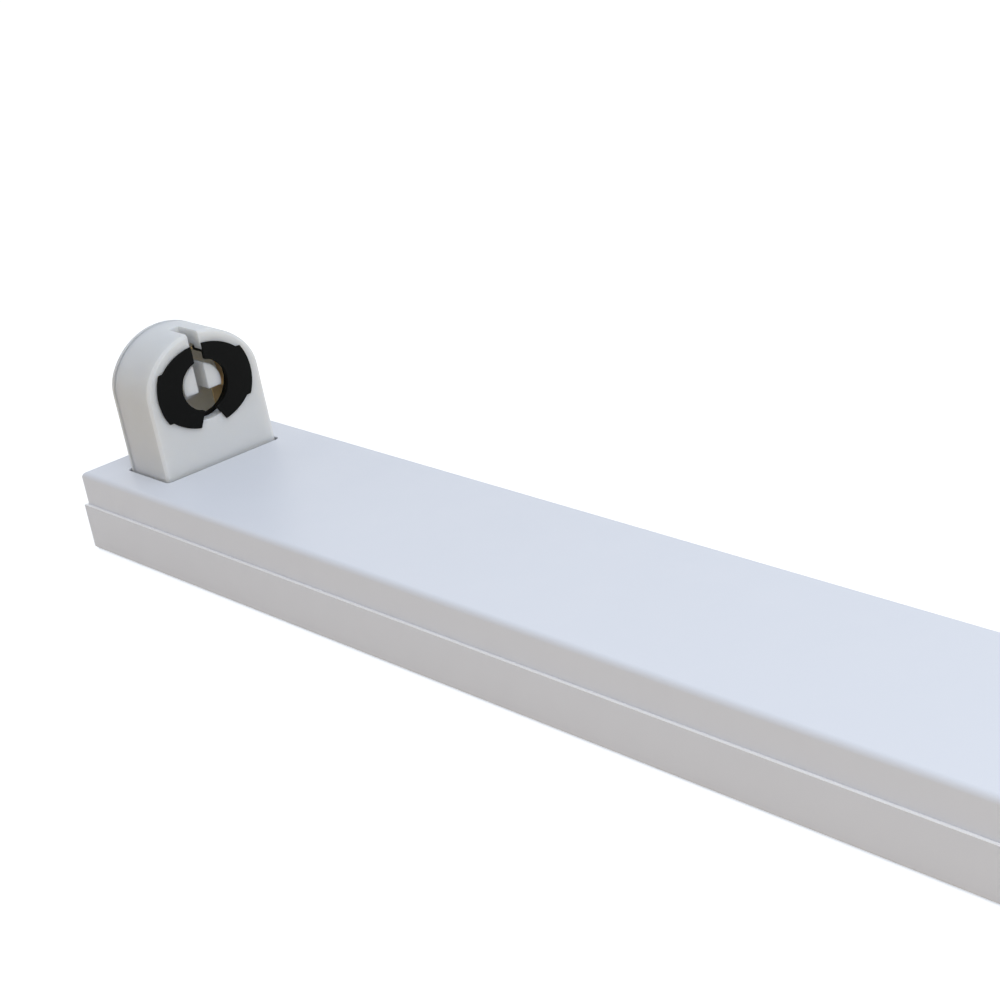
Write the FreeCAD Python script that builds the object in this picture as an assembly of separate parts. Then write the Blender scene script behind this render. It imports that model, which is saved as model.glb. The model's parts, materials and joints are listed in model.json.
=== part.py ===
import FreeCAD, Part
import math
import os
from FreeCAD import Vector

os.makedirs("parts", exist_ok=True)

# A batten for one straight tube lamp, lying on its mounting back with the lamp side up.
# Millimetres. X runs along the lamp, Z from the mounting back to the lamp side, and the
# origin is the middle of the mounting back.

# The lamp that the fitting takes
LAMP_LENGTH = 589.8
LAMP_END_PLAY = 0.6
PIN_PITCH = 12.7
PIN_RADIUS = 1.2
PIN_LENGTH = 7.1

# Sheet-steel body
SHEET = 0.6
COVER_WIDTH = 45.0
BODY_HEIGHT = 19.5
TRAY_HEIGHT = 11.4
COVER_FIT = 0.2
COVER_TUCK = 4.5
COVER_BEND = 1.3
TRAY_BEND = 1.0
CORNER_SLIT = 0.4
END_MARGIN = 11.5
CUTOUT_GAP = 1.0
CUTOUT_SIDE_GAP = 0.5
CUTOUT_RADIUS = 1.2
OVERRUN = 1.0

# Fixing slots and cable entry in the mounting back
FIXING_SPACING = 400.0
FIXING_SLOT_WIDTH = 5.5
FIXING_SLOT_LENGTH = 14.0
ENTRY_X = 168.0
ENTRY_HOLE_RADIUS = 10.0
ENTRY_DISH_RADIUS = 15.0
ENTRY_DISH_RISE = 2.2

# Cable grommet
GROMMET_BORE_RADIUS = 5.0
GROMMET_FLANGE_RADIUS = 12.5
GROMMET_FLANGE = 1.5
GROMMET_FIT = 0.1

# Lampholder, measured from its front face towards the end of the batten
HOLDER_WIDTH = 30.0
HOLDER_DEPTH = 17.6
HOLDER_WALL = 1.6
HOLDER_EDGE = 0.6
BORE_DEPTH = 3.2
LAMP_AXIS_RISE = 18.8
ARCH_RISE = 12.8
ARCH_SIDE_RADIUS_SHARE = 0.8
REAR_COVER = 1.8
ENTRY_SLOT_WIDTH = 2.8
PIN_END_ROOM = 1.5
GUIDE_WALL = 1.2

# Rotor, which turns in the housing's bore, and the fixed hub inside it
ROTOR_RADIUS = 9.9
ROTOR_PROUD = 0.6
ROTOR_PLATE = 1.1
ROTOR_HOLE_RADIUS = 6.0
ROTOR_RIM = 0.5
PIN_ROOM = 0.05
ROTOR_FLANGE = 0.65
ROTOR_FLANGE_THICKNESS = 1.0
ROTOR_SLOT_WIDTH = 2.8
ROTOR_SLOT_FLARE = 2.2
ROTOR_FLARE_RISE = 4.4
ROTOR_WINDOW = 9.0
ROTOR_LUG_REACH = 2.7
ROTOR_LUG_HEIGHT = 12.0
ROTOR_CLEARANCE = 0.2
FACE_CLEARANCE = 0.1
HUB_RADIUS = 5.0
HUB_RECESS = 1.4
HUB_FLAT_DROP = 1.6

# Brass contacts
CONTACT_SHEET = 0.4
CONTACT_GAP = 0.15
CONTACT_LEG_WIDTH = 3.0
CONTACT_SETBACK = 4.5
CONTACT_DEPTH = 7.0
CONTACT_END_ANGLE = 25.0
CONTACT_SWEEP_ANGLE = 105.0

# Bracket under each lampholder
BRACKET_SHEET = 1.0
PLATFORM_HEIGHT = 8.0
BRACKET_SIDE_GAP = 0.5
BRACKET_FOOT = 4.0
BRACKET_FRONT = 6.0
BRACKET_BACK = 6.0
EAR_WIDTH = 24.0
EAR_LIP = 3.0
HOOK_WIDTH = 4.0
HOOK_THICKNESS = 2.0
HOOK_BARB = 0.7
HOOK_DROP = 3.4
HOOK_SPREAD = 20.0
HOOK_FIT = 0.2
LEAD_DOOR_WIDTH = 18.0
LEAD_DOOR_LENGTH = 7.0
RIVET_SHANK_RADIUS = 1.25
RIVET_HEAD_RADIUS = 1.9
RIVET_HEAD_HEIGHT = 0.9
RIVET_FIT = 0.05

# Spring clips for the cover
CLIP_SHEET = 0.4
CLIP_LENGTH = 12.0
CLIP_HEIGHT = 10.0
CLIP_FOOT = 5.0
CLIP_NOSE = 0.8
CLIP_GAP = 0.15
CLIP_X_PLACES = (-215.0, 215.0)

# Electronic ballast
BALLAST_X = -70.0
BALLAST_LENGTH = 176.0
LEAD_BAY = 8.5
BALLAST_HEIGHT = 16.0
BALLAST_SHEET = 0.5
BALLAST_LID_DROP = 5.0
BALLAST_FIT = 0.1
BALLAST_EAR_LENGTH = 11.0
BALLAST_EAR_WIDTH = 16.0
BALLAST_SCREW_RADIUS = 1.9
BOARD_SHEET = 1.6
BOARD_RISE = 3.0
BOARD_EDGE = 1.2
BOARD_FOOT_RADIUS = 1.5
CHOKE_SIZE = (18.0, 16.0, 8.5)
CAPACITOR_RADIUS = 3.6
CAPACITOR_LENGTH = 16.0
CAPACITOR_SEAT_SHARE = 0.9
SUPPRESSOR_SIZE = (13.0, 6.0, 7.5)
CONNECTOR_LENGTH = 9.0
CONNECTOR_HEIGHT = 8.0
CONNECTOR_PITCH = 4.5
CONNECTOR_PROUD = 1.2

# Mains terminal block
TERMINAL_X = 112.0
TERMINAL_LENGTH = 22.0
TERMINAL_SIDE_ROOM = 9.0
TERMINAL_HEIGHT = 13.0
TERMINAL_STEP = 4.0
TERMINAL_WALL = 1.4
TERMINAL_BORE_RADIUS = 1.7
TERMINAL_INSERT_WALL = 0.9
TERMINAL_SCREW_RADIUS = 1.5
TERMINAL_SCREW_INSET = 5.0
TERMINAL_FOOT = 6.0

# Earth stud
EARTH_X = 62.0
STUD_RADIUS = 2.0
STUD_HEIGHT = 9.0
STUD_BASE_RADIUS = 3.6
STUD_BASE_HEIGHT = 0.8
WASHER_RADIUS = 4.2
WASHER_SHEET = 0.6
WASHER_TEETH = 10
NUT_ACROSS_FLATS = 7.0
NUT_HEIGHT = 3.2
LUG_SHEET = 0.8
LUG_RADIUS = 4.2
LUG_BARREL_RADIUS = 1.6
LUG_BARREL_LENGTH = 5.0
THREAD_FIT = 0.05

# Internal leads, the same wire everywhere
LEAD_RADIUS = 0.95
LEAD_FIT = 0.1
LEAD_HEIGHT = 4.4
LEAD_INSERTION = 4.0
LEAD_BEND_SHARE = 0.45
LEAD_SIDE_GAP = 1.6
LEAD_STEP = 2.5
LEAD_CLIP_WALL = 1.2
LEAD_CLIP_LENGTH = 7.0

# Screws
SCREW_HEAD_RATIO_SHARE = 1.9
SCREW_HEAD_HEIGHT_SHARE = 1.1
SCREW_SLOT_WIDTH_SHARE = 0.35
SCREW_SLOT_DEPTH_SHARE = 0.45
SCREW_FIT = 0.1

# Sides of the leads, of the small rods and holes inside, and of the larger rings, that are not left round
LEAD_SIDES = 6
SMALL_SIDES = 8
RING_SIDES = 24

# Places that follow from the sizes above
FACE_X = LAMP_LENGTH / 2 + LAMP_END_PLAY + ROTOR_PROUD
COVER_LENGTH = 2 * (FACE_X + HOLDER_DEPTH + END_MARGIN)
TRAY_GROWTH = 2 * (COVER_FIT + SHEET)
TRAY_LENGTH = COVER_LENGTH + TRAY_GROWTH
TRAY_WIDTH = COVER_WIDTH + TRAY_GROWTH
SKIRT_Z = TRAY_HEIGHT - COVER_TUCK
CEILING_Z = BODY_HEIGHT - SHEET
AXIS_Z = BODY_HEIGHT + LAMP_AXIS_RISE
GROOVE_RADIUS = PIN_PITCH / 2 + PIN_RADIUS + PIN_ROOM
PLUG_RADIUS = GROOVE_RADIUS + ROTOR_RIM
BORE_RADIUS = PLUG_RADIUS + ROTOR_CLEARANCE
FLANGE_RADIUS = PLUG_RADIUS + ROTOR_FLANGE
FLANGE_START = BORE_DEPTH + FACE_CLEARANCE
ROTOR_DEPTH = ROTOR_PROUD + FLANGE_START + ROTOR_FLANGE_THICKNESS
HOUSING_DEPTH = HOLDER_DEPTH - REAR_COVER
ENTRY_SLOT_DEPTH = PIN_LENGTH + PIN_END_ROOM
CONTACT_RADIUS = PIN_PITCH / 2 + PIN_RADIUS + CONTACT_GAP
CONTACT_LEG_Y = CONTACT_RADIUS + CONTACT_SHEET - CONTACT_LEG_WIDTH / 2
WIRE_Y = CONTACT_LEG_Y
WIRE_U = CONTACT_DEPTH + LEAD_RADIUS + LEAD_FIT
HOLDER_FLOOR_Z = PLATFORM_HEIGHT + HOLDER_WALL
BALLAST_END = BALLAST_LENGTH / 2
PLATFORM_WIDTH = COVER_WIDTH - 2 * (BRACKET_FOOT + BRACKET_SIDE_GAP)
BALLAST_WIDTH = COVER_WIDTH - 2 * LEAD_BAY
TERMINAL_WIDTH = COVER_WIDTH - 2 * TERMINAL_SIDE_ROOM
TERMINAL_PITCH = TERMINAL_WIDTH / 3
EARTH_Y = COVER_WIDTH / 2 - LEAD_BAY
HOLE_RADIUS = LEAD_RADIUS + LEAD_FIT

ALONG_X = Vector(1, 0, 0)
ALONG_Z = Vector(0, 0, 1)


def save(node, shape):
    """Write one node's solids to its own file."""
    shape.exportStep("parts/" + node + ".step")
    print(node, "solids", len(shape.Solids), "volume", round(shape.Volume, 1))


def block(low, high):
    """A box between two corners."""
    size = Vector(*high) - Vector(*low)
    return Part.makeBox(size.x, size.y, size.z, Vector(*low))


def rod(radius, start, direction, length):
    return Part.makeCylinder(radius, length, Vector(*start), direction)


def sided_rod(sides, radius, start, direction, length):
    """A rod with flat sides, its corners on the radius."""
    across = direction.cross(ALONG_Z) if direction.cross(ALONG_Z).Length else ALONG_X
    beside = direction.cross(across)
    corners = []
    for index in range(sides):
        angle = 2 * math.pi * (index + 1 / 2) / sides
        corners.append(Vector(*start) + (across * math.cos(angle) + beside * math.sin(angle)) * radius)
    return prism(corners, direction * length)


def small_rod(radius, start, direction, length):
    return sided_rod(SMALL_SIDES, radius, start, direction, length)


def small_hole(radius, start, direction, length):
    """A small hole with flat sides that touch the radius."""
    return small_rod(radius / math.cos(math.pi / SMALL_SIDES), start, direction, length)


def prism(corners, direction):
    """A solid drawn out from a closed outline of corners."""
    points = [Vector(*corner) for corner in corners]
    outline = Part.makePolygon(points + points[:1])
    return Part.Face(outline).extrude(direction)


def round_edges(shape, radius, wanted):
    """Round the edges that the test picks."""
    edges = [edge for edge in shape.Edges if wanted(edge)]
    return shape.makeFillet(radius, edges)


def bevel_edges(shape, size, wanted):
    """Cut a small flat along the edges that the test picks."""
    edges = [edge for edge in shape.Edges if wanted(edge)]
    return shape.makeChamfer(size, edges)


def upright(edge):
    """Whether an edge runs along Z."""
    box = edge.BoundBox
    return box.ZLength > box.XLength + box.YLength


def flat_at(edge, height):
    """Whether an edge lies level at one height."""
    box = edge.BoundBox
    return abs(box.ZMin - height) < OVERRUN / 100 and abs(box.ZMax - height) < OVERRUN / 100


def slot(length, width, centre, depth):
    """A round-ended slot along X, cut down through a floor that starts at the centre's height."""
    reach = (length - width) / 2
    x, y, z = centre
    body = block((x - reach, y - width / 2, z), (x + reach, y + width / 2, z + depth))
    ends = [rod(width / 2, (x + side * reach, y, z), ALONG_Z, depth) for side in (-1, 1)]
    return body.fuse(ends)


def corner_slits(length, width, low, high):
    """The open corners between a folded end and the folded sides."""
    slits = []
    for side_x in (-1, 1):
        for side_y in (-1, 1):
            inner_y = width / 2 - SHEET
            xs = sorted((side_x * (length / 2 - SHEET), side_x * (length / 2 + OVERRUN)))
            ys = sorted((side_y * (inner_y - CORNER_SLIT), side_y * inner_y))
            slits.append(block((xs[0], ys[0], low), (xs[1], ys[1], high)))
    return slits


# Base tray
def fixing_places():
    return [(side * FIXING_SPACING / 2, 0) for side in (-1, 1)]


def rivet_places():
    """Rivets through the feet of both brackets."""
    places = []
    foot_y = PLATFORM_WIDTH / 2 + BRACKET_FOOT / 2
    for end in (-1, 1):
        for side in (-1, 1):
            places.append((end * (FACE_X + HOLDER_DEPTH / 2), side * foot_y))
    return places


def ballast_screw_places():
    reach = BALLAST_END + BALLAST_EAR_LENGTH / 2
    return [(BALLAST_X + side * reach, 0) for side in (-1, 1)]


def base_tray():
    outer = block((-TRAY_LENGTH / 2, -TRAY_WIDTH / 2, 0), (TRAY_LENGTH / 2, TRAY_WIDTH / 2, TRAY_HEIGHT))
    outer = round_edges(outer, TRAY_BEND, lambda edge: flat_at(edge, 0))
    inner = block((-TRAY_LENGTH / 2 + SHEET, -TRAY_WIDTH / 2 + SHEET, SHEET),
                  (TRAY_LENGTH / 2 - SHEET, TRAY_WIDTH / 2 - SHEET, TRAY_HEIGHT + OVERRUN))
    inner = round_edges(inner, TRAY_BEND - SHEET, lambda edge: flat_at(edge, SHEET))
    tray = outer.cut(inner)
    tray = tray.fuse(rod(ENTRY_DISH_RADIUS, (ENTRY_X, 0, 0), ALONG_Z, ENTRY_DISH_RISE + SHEET))
    cuts = corner_slits(TRAY_LENGTH, TRAY_WIDTH, TRAY_BEND, TRAY_HEIGHT + OVERRUN)
    for x, y in fixing_places():
        cuts.append(slot(FIXING_SLOT_LENGTH, FIXING_SLOT_WIDTH, (x, y, -OVERRUN), SHEET + 2 * OVERRUN))
    for x, y in rivet_places():
        cuts.append(small_hole(RIVET_SHANK_RADIUS + RIVET_FIT, (x, y, -OVERRUN), ALONG_Z,
                               SHEET + 2 * OVERRUN))
    for x, y in ballast_screw_places():
        cuts.append(small_hole(BALLAST_SCREW_RADIUS + SCREW_FIT, (x, y, -OVERRUN), ALONG_Z,
                               SHEET + 2 * OVERRUN))
    dish_inside = ENTRY_DISH_RADIUS - SHEET
    cuts.append(rod(dish_inside, (ENTRY_X, 0, -OVERRUN), ALONG_Z, ENTRY_DISH_RISE + OVERRUN))
    cuts.append(rod(ENTRY_HOLE_RADIUS, (ENTRY_X, 0, 0), ALONG_Z, ENTRY_DISH_RISE + 2 * OVERRUN))
    return tray.cut(cuts).removeSplitter()


# Cover
def cover():
    outer = block((-COVER_LENGTH / 2, -COVER_WIDTH / 2, SKIRT_Z),
                  (COVER_LENGTH / 2, COVER_WIDTH / 2, BODY_HEIGHT))
    outer = round_edges(outer, COVER_BEND, lambda edge: flat_at(edge, BODY_HEIGHT))
    inner = block((-COVER_LENGTH / 2 + SHEET, -COVER_WIDTH / 2 + SHEET, SKIRT_Z - OVERRUN),
                  (COVER_LENGTH / 2 - SHEET, COVER_WIDTH / 2 - SHEET, CEILING_Z))
    inner = round_edges(inner, COVER_BEND - SHEET, lambda edge: flat_at(edge, CEILING_Z))
    shell = outer.cut(inner)
    cuts = corner_slits(COVER_LENGTH, COVER_WIDTH, SKIRT_Z - OVERRUN, BODY_HEIGHT - COVER_BEND)
    for end in (-1, 1):
        xs = sorted((end * (FACE_X - CUTOUT_GAP), end * (FACE_X + HOLDER_DEPTH + CUTOUT_GAP)))
        reach = HOLDER_WIDTH / 2 + CUTOUT_SIDE_GAP
        window = block((xs[0], -reach, CEILING_Z - OVERRUN), (xs[1], reach, BODY_HEIGHT + OVERRUN))
        window = round_edges(window, CUTOUT_RADIUS, upright)
        cuts.append(window)
    return shell.cut(cuts).removeSplitter()


# Lampholder, drawn with its front face at x = 0 and its depth along +X
def holder_block(start, depth, inset, bottom):
    """The lampholder's D-shaped outline, moved in by an inset and drawn through a depth.

    Two tangent side arcs and one wider top arc close the straight sides."""
    side = HOLDER_WIDTH / 2
    side_radius = ARCH_RISE * ARCH_SIDE_RADIUS_SHARE
    top_radius = (side ** 2 + ARCH_RISE ** 2 - 2 * side * side_radius) / (2 * (ARCH_RISE - side_radius))
    turn = math.atan2(top_radius - ARCH_RISE, side - side_radius)
    side_centre = Vector(start, side - side_radius, AXIS_Z)
    top_centre = Vector(start, 0, AXIS_Z + ARCH_RISE - top_radius)

    def on_arc(centre, radius, angle):
        return centre + Vector(0, math.cos(angle), math.sin(angle)) * (radius - inset)

    spring = on_arc(side_centre, side_radius, 0)
    shoulder_middle = on_arc(side_centre, side_radius, turn / 2)
    shoulder = on_arc(side_centre, side_radius, turn)
    crown = on_arc(top_centre, top_radius, math.pi / 2)
    foot = Vector(start, side - inset, bottom)

    def flipped(point):
        return Vector(point.x, -point.y, point.z)

    edges = [Part.LineSegment(foot, spring), Part.Arc(spring, shoulder_middle, shoulder),
             Part.Arc(shoulder, crown, flipped(shoulder)),
             Part.Arc(flipped(shoulder), flipped(shoulder_middle), flipped(spring)),
             Part.LineSegment(flipped(spring), flipped(foot)), Part.LineSegment(flipped(foot), foot)]
    outline = Part.Wire([edge.toShape() for edge in edges])
    return Part.Face(outline).extrude(ALONG_X * depth)


def front_edge(edge, place):
    box = edge.BoundBox
    level = abs(box.XMin - place) < OVERRUN / 100 and abs(box.XMax - place) < OVERRUN / 100
    return level and box.ZMax > PLATFORM_HEIGHT + OVERRUN


def hook(side):
    """A snap hook that holds the lampholder down under the bracket's platform."""
    inner = side * (HOOK_SPREAD / 2 - HOOK_THICKNESS / 2)
    outer = side * (HOOK_SPREAD / 2 + HOOK_THICKNESS / 2)
    barb = outer + side * HOOK_BARB
    under = PLATFORM_HEIGHT - BRACKET_SHEET - HOOK_FIT / 2
    tip = PLATFORM_HEIGHT - HOOK_DROP
    x = HOUSING_DEPTH / 2 + LEAD_DOOR_LENGTH / 2
    outline = [(x, inner, PLATFORM_HEIGHT), (x, outer, PLATFORM_HEIGHT), (x, outer, under),
               (x, barb, under), (x, outer, tip), (x, inner, tip)]
    return prism(outline, ALONG_X * HOOK_WIDTH)


def holder_housing():
    """The D-shaped shell, with a walled channel that guides the lamp's pins down to the rotor."""
    body = holder_block(0, HOUSING_DEPTH, 0, PLATFORM_HEIGHT)
    body = bevel_edges(body, HOLDER_EDGE, lambda edge: front_edge(edge, 0))
    body = body.cut(holder_block(HOLDER_WALL, HOLDER_DEPTH, HOLDER_WALL, HOLDER_FLOOR_Z))
    half = ENTRY_SLOT_WIDTH / 2
    guide_low = AXIS_Z + FLANGE_RADIUS + ROTOR_CLEARANCE
    guide = block((HOLDER_WALL, -half - GUIDE_WALL, guide_low),
                  (ENTRY_SLOT_DEPTH + GUIDE_WALL, half + GUIDE_WALL, AXIS_Z + ARCH_RISE - HOLDER_WALL / 2))
    inside = HOLDER_WALL / 2
    collar = rod(BORE_RADIUS + GUIDE_WALL, (inside, 0, AXIS_Z), ALONG_X, BORE_DEPTH - inside)
    cuts = [rod(BORE_RADIUS, (-OVERRUN, 0, AXIS_Z), ALONG_X, BORE_DEPTH + 2 * OVERRUN)]
    cuts.append(block((-OVERRUN, -half, AXIS_Z), (ENTRY_SLOT_DEPTH, half, AXIS_Z + ARCH_RISE + OVERRUN)))
    for side in (-1, 1):
        start = (WIRE_U, side * WIRE_Y, PLATFORM_HEIGHT - OVERRUN)
        cuts.append(small_hole(HOLE_RADIUS, start, ALONG_Z, HOLDER_WALL + 2 * OVERRUN))
    return body.fuse([guide, collar, hook(-1), hook(1)]).cut(cuts).removeSplitter()


def holder_rear_cover():
    """The back plate with the hub that the pins run round, split for the pins and flat below."""
    plate = holder_block(HOUSING_DEPTH, REAR_COVER, 0, PLATFORM_HEIGHT)
    plate = bevel_edges(plate, HOLDER_EDGE, lambda edge: front_edge(edge, HOLDER_DEPTH))
    front = HUB_RECESS - ROTOR_PROUD
    hub = rod(HUB_RADIUS, (front, 0, AXIS_Z), ALONG_X, HOUSING_DEPTH - front)
    half = ENTRY_SLOT_WIDTH / 2
    reach = HUB_RADIUS + OVERRUN
    split = block((-OVERRUN - ROTOR_PROUD, -half, AXIS_Z - reach), (ENTRY_SLOT_DEPTH, half, AXIS_Z + reach))
    flat = block((-OVERRUN - ROTOR_PROUD, -reach, AXIS_Z - reach),
                 (ENTRY_SLOT_DEPTH, reach, AXIS_Z - HUB_FLAT_DROP))
    return plate.fuse(hub.cut([split, flat])).removeSplitter()


def oval_plate(half_width, half_height, start, thickness):
    """A flat plate with an oval outline round the lamp's axis."""
    centre = Vector(start, 0, AXIS_Z)
    outline = Part.Ellipse(centre + Vector(0, half_width, 0), centre + Vector(0, 0, half_height), centre)
    return Part.Face(Part.Wire([outline.toShape()])).extrude(ALONG_X * thickness)


def holder_rotor():
    """The black oval ring with a slot above, a flared one below and a finger lug at each side."""
    front = -ROTOR_PROUD
    face_sheet = ROTOR_PROUD - FACE_CLEARANCE
    lug_radius = ROTOR_RADIUS + ROTOR_LUG_REACH
    face = oval_plate(lug_radius, ROTOR_RADIUS, front, face_sheet)
    lugs = rod(lug_radius, (front, 0, AXIS_Z), ALONG_X, face_sheet)
    band = block((front, -lug_radius, AXIS_Z - ROTOR_LUG_HEIGHT / 2),
                 (front + face_sheet, lug_radius, AXIS_Z + ROTOR_LUG_HEIGHT / 2))
    plug = rod(PLUG_RADIUS, (front, 0, AXIS_Z), ALONG_X, ROTOR_DEPTH)
    flange = sided_rod(RING_SIDES, FLANGE_RADIUS, (FLANGE_START, 0, AXIS_Z), ALONG_X, ROTOR_FLANGE_THICKNESS)
    ring = face.fuse([plug, lugs.common(band), flange])
    hole = rod(ROTOR_HOLE_RADIUS, (front - OVERRUN, 0, AXIS_Z), ALONG_X, ROTOR_DEPTH + 2 * OVERRUN)
    hollow_start = front + ROTOR_PLATE
    hollow_corner = GROOVE_RADIUS / math.cos(math.pi / RING_SIDES)
    hollow = sided_rod(RING_SIDES, hollow_corner, (hollow_start, 0, AXIS_Z), ALONG_X, ROTOR_DEPTH)
    half = ROTOR_SLOT_WIDTH / 2
    wide = half + ROTOR_SLOT_FLARE
    top = AXIS_Z + lug_radius
    low = AXIS_Z - lug_radius
    upper = [(front - OVERRUN, -half, AXIS_Z), (front - OVERRUN, half, AXIS_Z),
             (front - OVERRUN, half, top), (front - OVERRUN, -half, top)]
    upper_slot = prism(upper, ALONG_X * (ROTOR_DEPTH + 2 * OVERRUN))
    rim = AXIS_Z - ROTOR_RADIUS
    left_side = [(-half, AXIS_Z), (-half, rim + ROTOR_FLARE_RISE), (-wide, rim), (-wide, low)]
    right_side = [(-y, z) for y, z in reversed(left_side)]
    lower = [(front - OVERRUN, y, z) for y, z in left_side + right_side]
    lower_slot = prism(lower, ALONG_X * (FLANGE_START - front + OVERRUN))
    window = block((hollow_start, -ROTOR_WINDOW / 2, low), (FLANGE_START, ROTOR_WINDOW / 2, AXIS_Z))
    return ring.cut([hole, hollow, upper_slot, lower_slot, window]).removeSplitter()


def groove_point(x, radius, degrees):
    """A place at one angle round the lamp's axis, measured from +Y towards +Z."""
    angle = math.radians(degrees)
    return Vector(x, radius * math.cos(angle), AXIS_Z + radius * math.sin(angle))


def groove_strip(first, last):
    """The curved part of a contact, between two angles round the lamp's axis."""
    middle = (first + last) / 2
    x = CONTACT_SETBACK
    outer = [groove_point(x, CONTACT_RADIUS + CONTACT_SHEET, angle) for angle in (first, middle, last)]
    inner = [groove_point(x, CONTACT_RADIUS, angle) for angle in (last, middle, first)]
    edges = [Part.Arc(*outer).toShape(), Part.LineSegment(outer[-1], inner[0]).toShape(),
             Part.Arc(*inner).toShape(), Part.LineSegment(inner[-1], outer[0]).toShape()]
    return Part.Face(Part.Wire(edges)).extrude(ALONG_X * (CONTACT_DEPTH - CONTACT_SETBACK))


def holder_contact(side):
    """A brass strip that lines the pin groove on one side and runs down to its lead."""
    last = 180 + CONTACT_END_ANGLE if side < 0 else CONTACT_END_ANGLE
    strip = groove_strip(last - CONTACT_SWEEP_ANGLE, last)
    ys = sorted((side * (CONTACT_RADIUS + CONTACT_SHEET - CONTACT_LEG_WIDTH),
                 side * (CONTACT_RADIUS + CONTACT_SHEET)))
    leg = block((CONTACT_DEPTH - CONTACT_SHEET, ys[0], HOLDER_FLOOR_Z),
                (CONTACT_DEPTH, ys[1], AXIS_Z - CONTACT_LEG_WIDTH / 2))
    return strip.fuse(leg).removeSplitter()


def holder_bracket():
    """A hat-shaped bridge over the leads, with an ear that carries the end of the cover."""
    top = PLATFORM_HEIGHT
    under = top - BRACKET_SHEET
    wall = PLATFORM_WIDTH / 2
    inside = wall - BRACKET_SHEET
    toe = wall + BRACKET_FOOT
    floor = SHEET
    front = -BRACKET_FRONT
    length = BRACKET_FRONT + HOLDER_DEPTH + BRACKET_BACK
    half = [(toe, floor), (toe, floor + BRACKET_SHEET), (wall, floor + BRACKET_SHEET), (wall, top)]
    inner = [(-inside, floor), (-inside, under), (inside, under), (inside, floor)]
    mirrored = [(-y, z) for y, z in reversed(half)]
    outline = [(front, y, z) for y, z in half + mirrored + inner]
    hat = prism(outline, ALONG_X * length)
    back = front + length
    ear = block((back - BRACKET_SHEET, -EAR_WIDTH / 2, top), (back, EAR_WIDTH / 2, CEILING_Z))
    lip = block((back, -EAR_WIDTH / 2, CEILING_Z - BRACKET_SHEET), (back + EAR_LIP, EAR_WIDTH / 2, CEILING_Z))
    door = block((WIRE_U - LEAD_DOOR_LENGTH / 2, -LEAD_DOOR_WIDTH / 2, under - OVERRUN),
                 (WIRE_U + LEAD_DOOR_LENGTH / 2, LEAD_DOOR_WIDTH / 2, top + OVERRUN))
    cuts = [door]
    hook_x = HOUSING_DEPTH / 2 + LEAD_DOOR_LENGTH / 2
    for side in (-1, 1):
        inner_y = side * (HOOK_SPREAD / 2 - HOOK_THICKNESS / 2 - HOOK_FIT)
        outer_y = side * (HOOK_SPREAD / 2 + HOOK_THICKNESS / 2 + HOOK_FIT)
        ys = sorted((inner_y, outer_y))
        cuts.append(block((hook_x - HOOK_FIT, ys[0], under - OVERRUN),
                          (hook_x + HOOK_WIDTH + HOOK_FIT, ys[1], top + OVERRUN)))
        foot_y = side * (wall + BRACKET_FOOT / 2)
        cuts.append(small_hole(RIVET_SHANK_RADIUS + RIVET_FIT, (HOLDER_DEPTH / 2, foot_y, 0), ALONG_Z, top))
    return hat.fuse([ear, lip]).cut(cuts).removeSplitter()


def at_end(shape, end):
    """Stand a lampholder part at the right end, or turned half round at the left one."""
    placed = shape.copy()
    if end < 0:
        placed.rotate(Vector(0, 0, 0), ALONG_Z, 180)
    placed.translate(ALONG_X * (end * FACE_X))
    return placed


def bracket_rivets():
    solids = []
    for x, y in rivet_places():
        shank = small_rod(RIVET_SHANK_RADIUS, (x, y, 0), ALONG_Z, SHEET + BRACKET_SHEET)
        head = small_rod(RIVET_HEAD_RADIUS, (x, y, SHEET + BRACKET_SHEET), ALONG_Z, RIVET_HEAD_HEIGHT)
        solids.append(shank.fuse(head).removeSplitter())
    return Part.makeCompound(solids)


# Spring clips inside the side walls, whose noses press on the cover's skirts
def cover_clips():
    solids = []
    skirt = COVER_WIDTH / 2 - SHEET - CLIP_GAP
    leaf = skirt - CLIP_NOSE
    high = SHEET + CLIP_HEIGHT
    nose_z = (SKIRT_Z + high) / 2
    for x in CLIP_X_PLACES:
        for side in (-1, 1):
            outer = [(leaf - CLIP_FOOT, SHEET), (leaf, SHEET), (leaf, SKIRT_Z), (skirt, nose_z), (leaf, high)]
            inner = [(leaf - CLIP_SHEET, high), (skirt - CLIP_SHEET, nose_z), (leaf - CLIP_SHEET, SKIRT_Z),
                     (leaf - CLIP_SHEET, SHEET + CLIP_SHEET), (leaf - CLIP_FOOT, SHEET + CLIP_SHEET)]
            outline = [(x - CLIP_LENGTH / 2, side * y, z) for y, z in outer + inner]
            solids.append(prism(outline, ALONG_X * CLIP_LENGTH))
    return Part.makeCompound(solids)


def cable_grommet():
    """A rubber ring in the cable entry, its lower flange sunk in the dish."""
    seat = ENTRY_DISH_RISE
    low = seat - GROMMET_FLANGE
    height = 2 * GROMMET_FLANGE + SHEET
    start = (ENTRY_X, 0, low)
    lower = sided_rod(RING_SIDES, GROMMET_FLANGE_RADIUS, start, ALONG_Z, GROMMET_FLANGE)
    upper = sided_rod(RING_SIDES, GROMMET_FLANGE_RADIUS, (ENTRY_X, 0, seat + SHEET), ALONG_Z, GROMMET_FLANGE)
    neck = sided_rod(RING_SIDES, ENTRY_HOLE_RADIUS - GROMMET_FIT, start, ALONG_Z, height)
    ring = neck.fuse([lower, upper]).removeSplitter()
    return ring.cut(rod(GROMMET_BORE_RADIUS, start, ALONG_Z, height))


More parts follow.
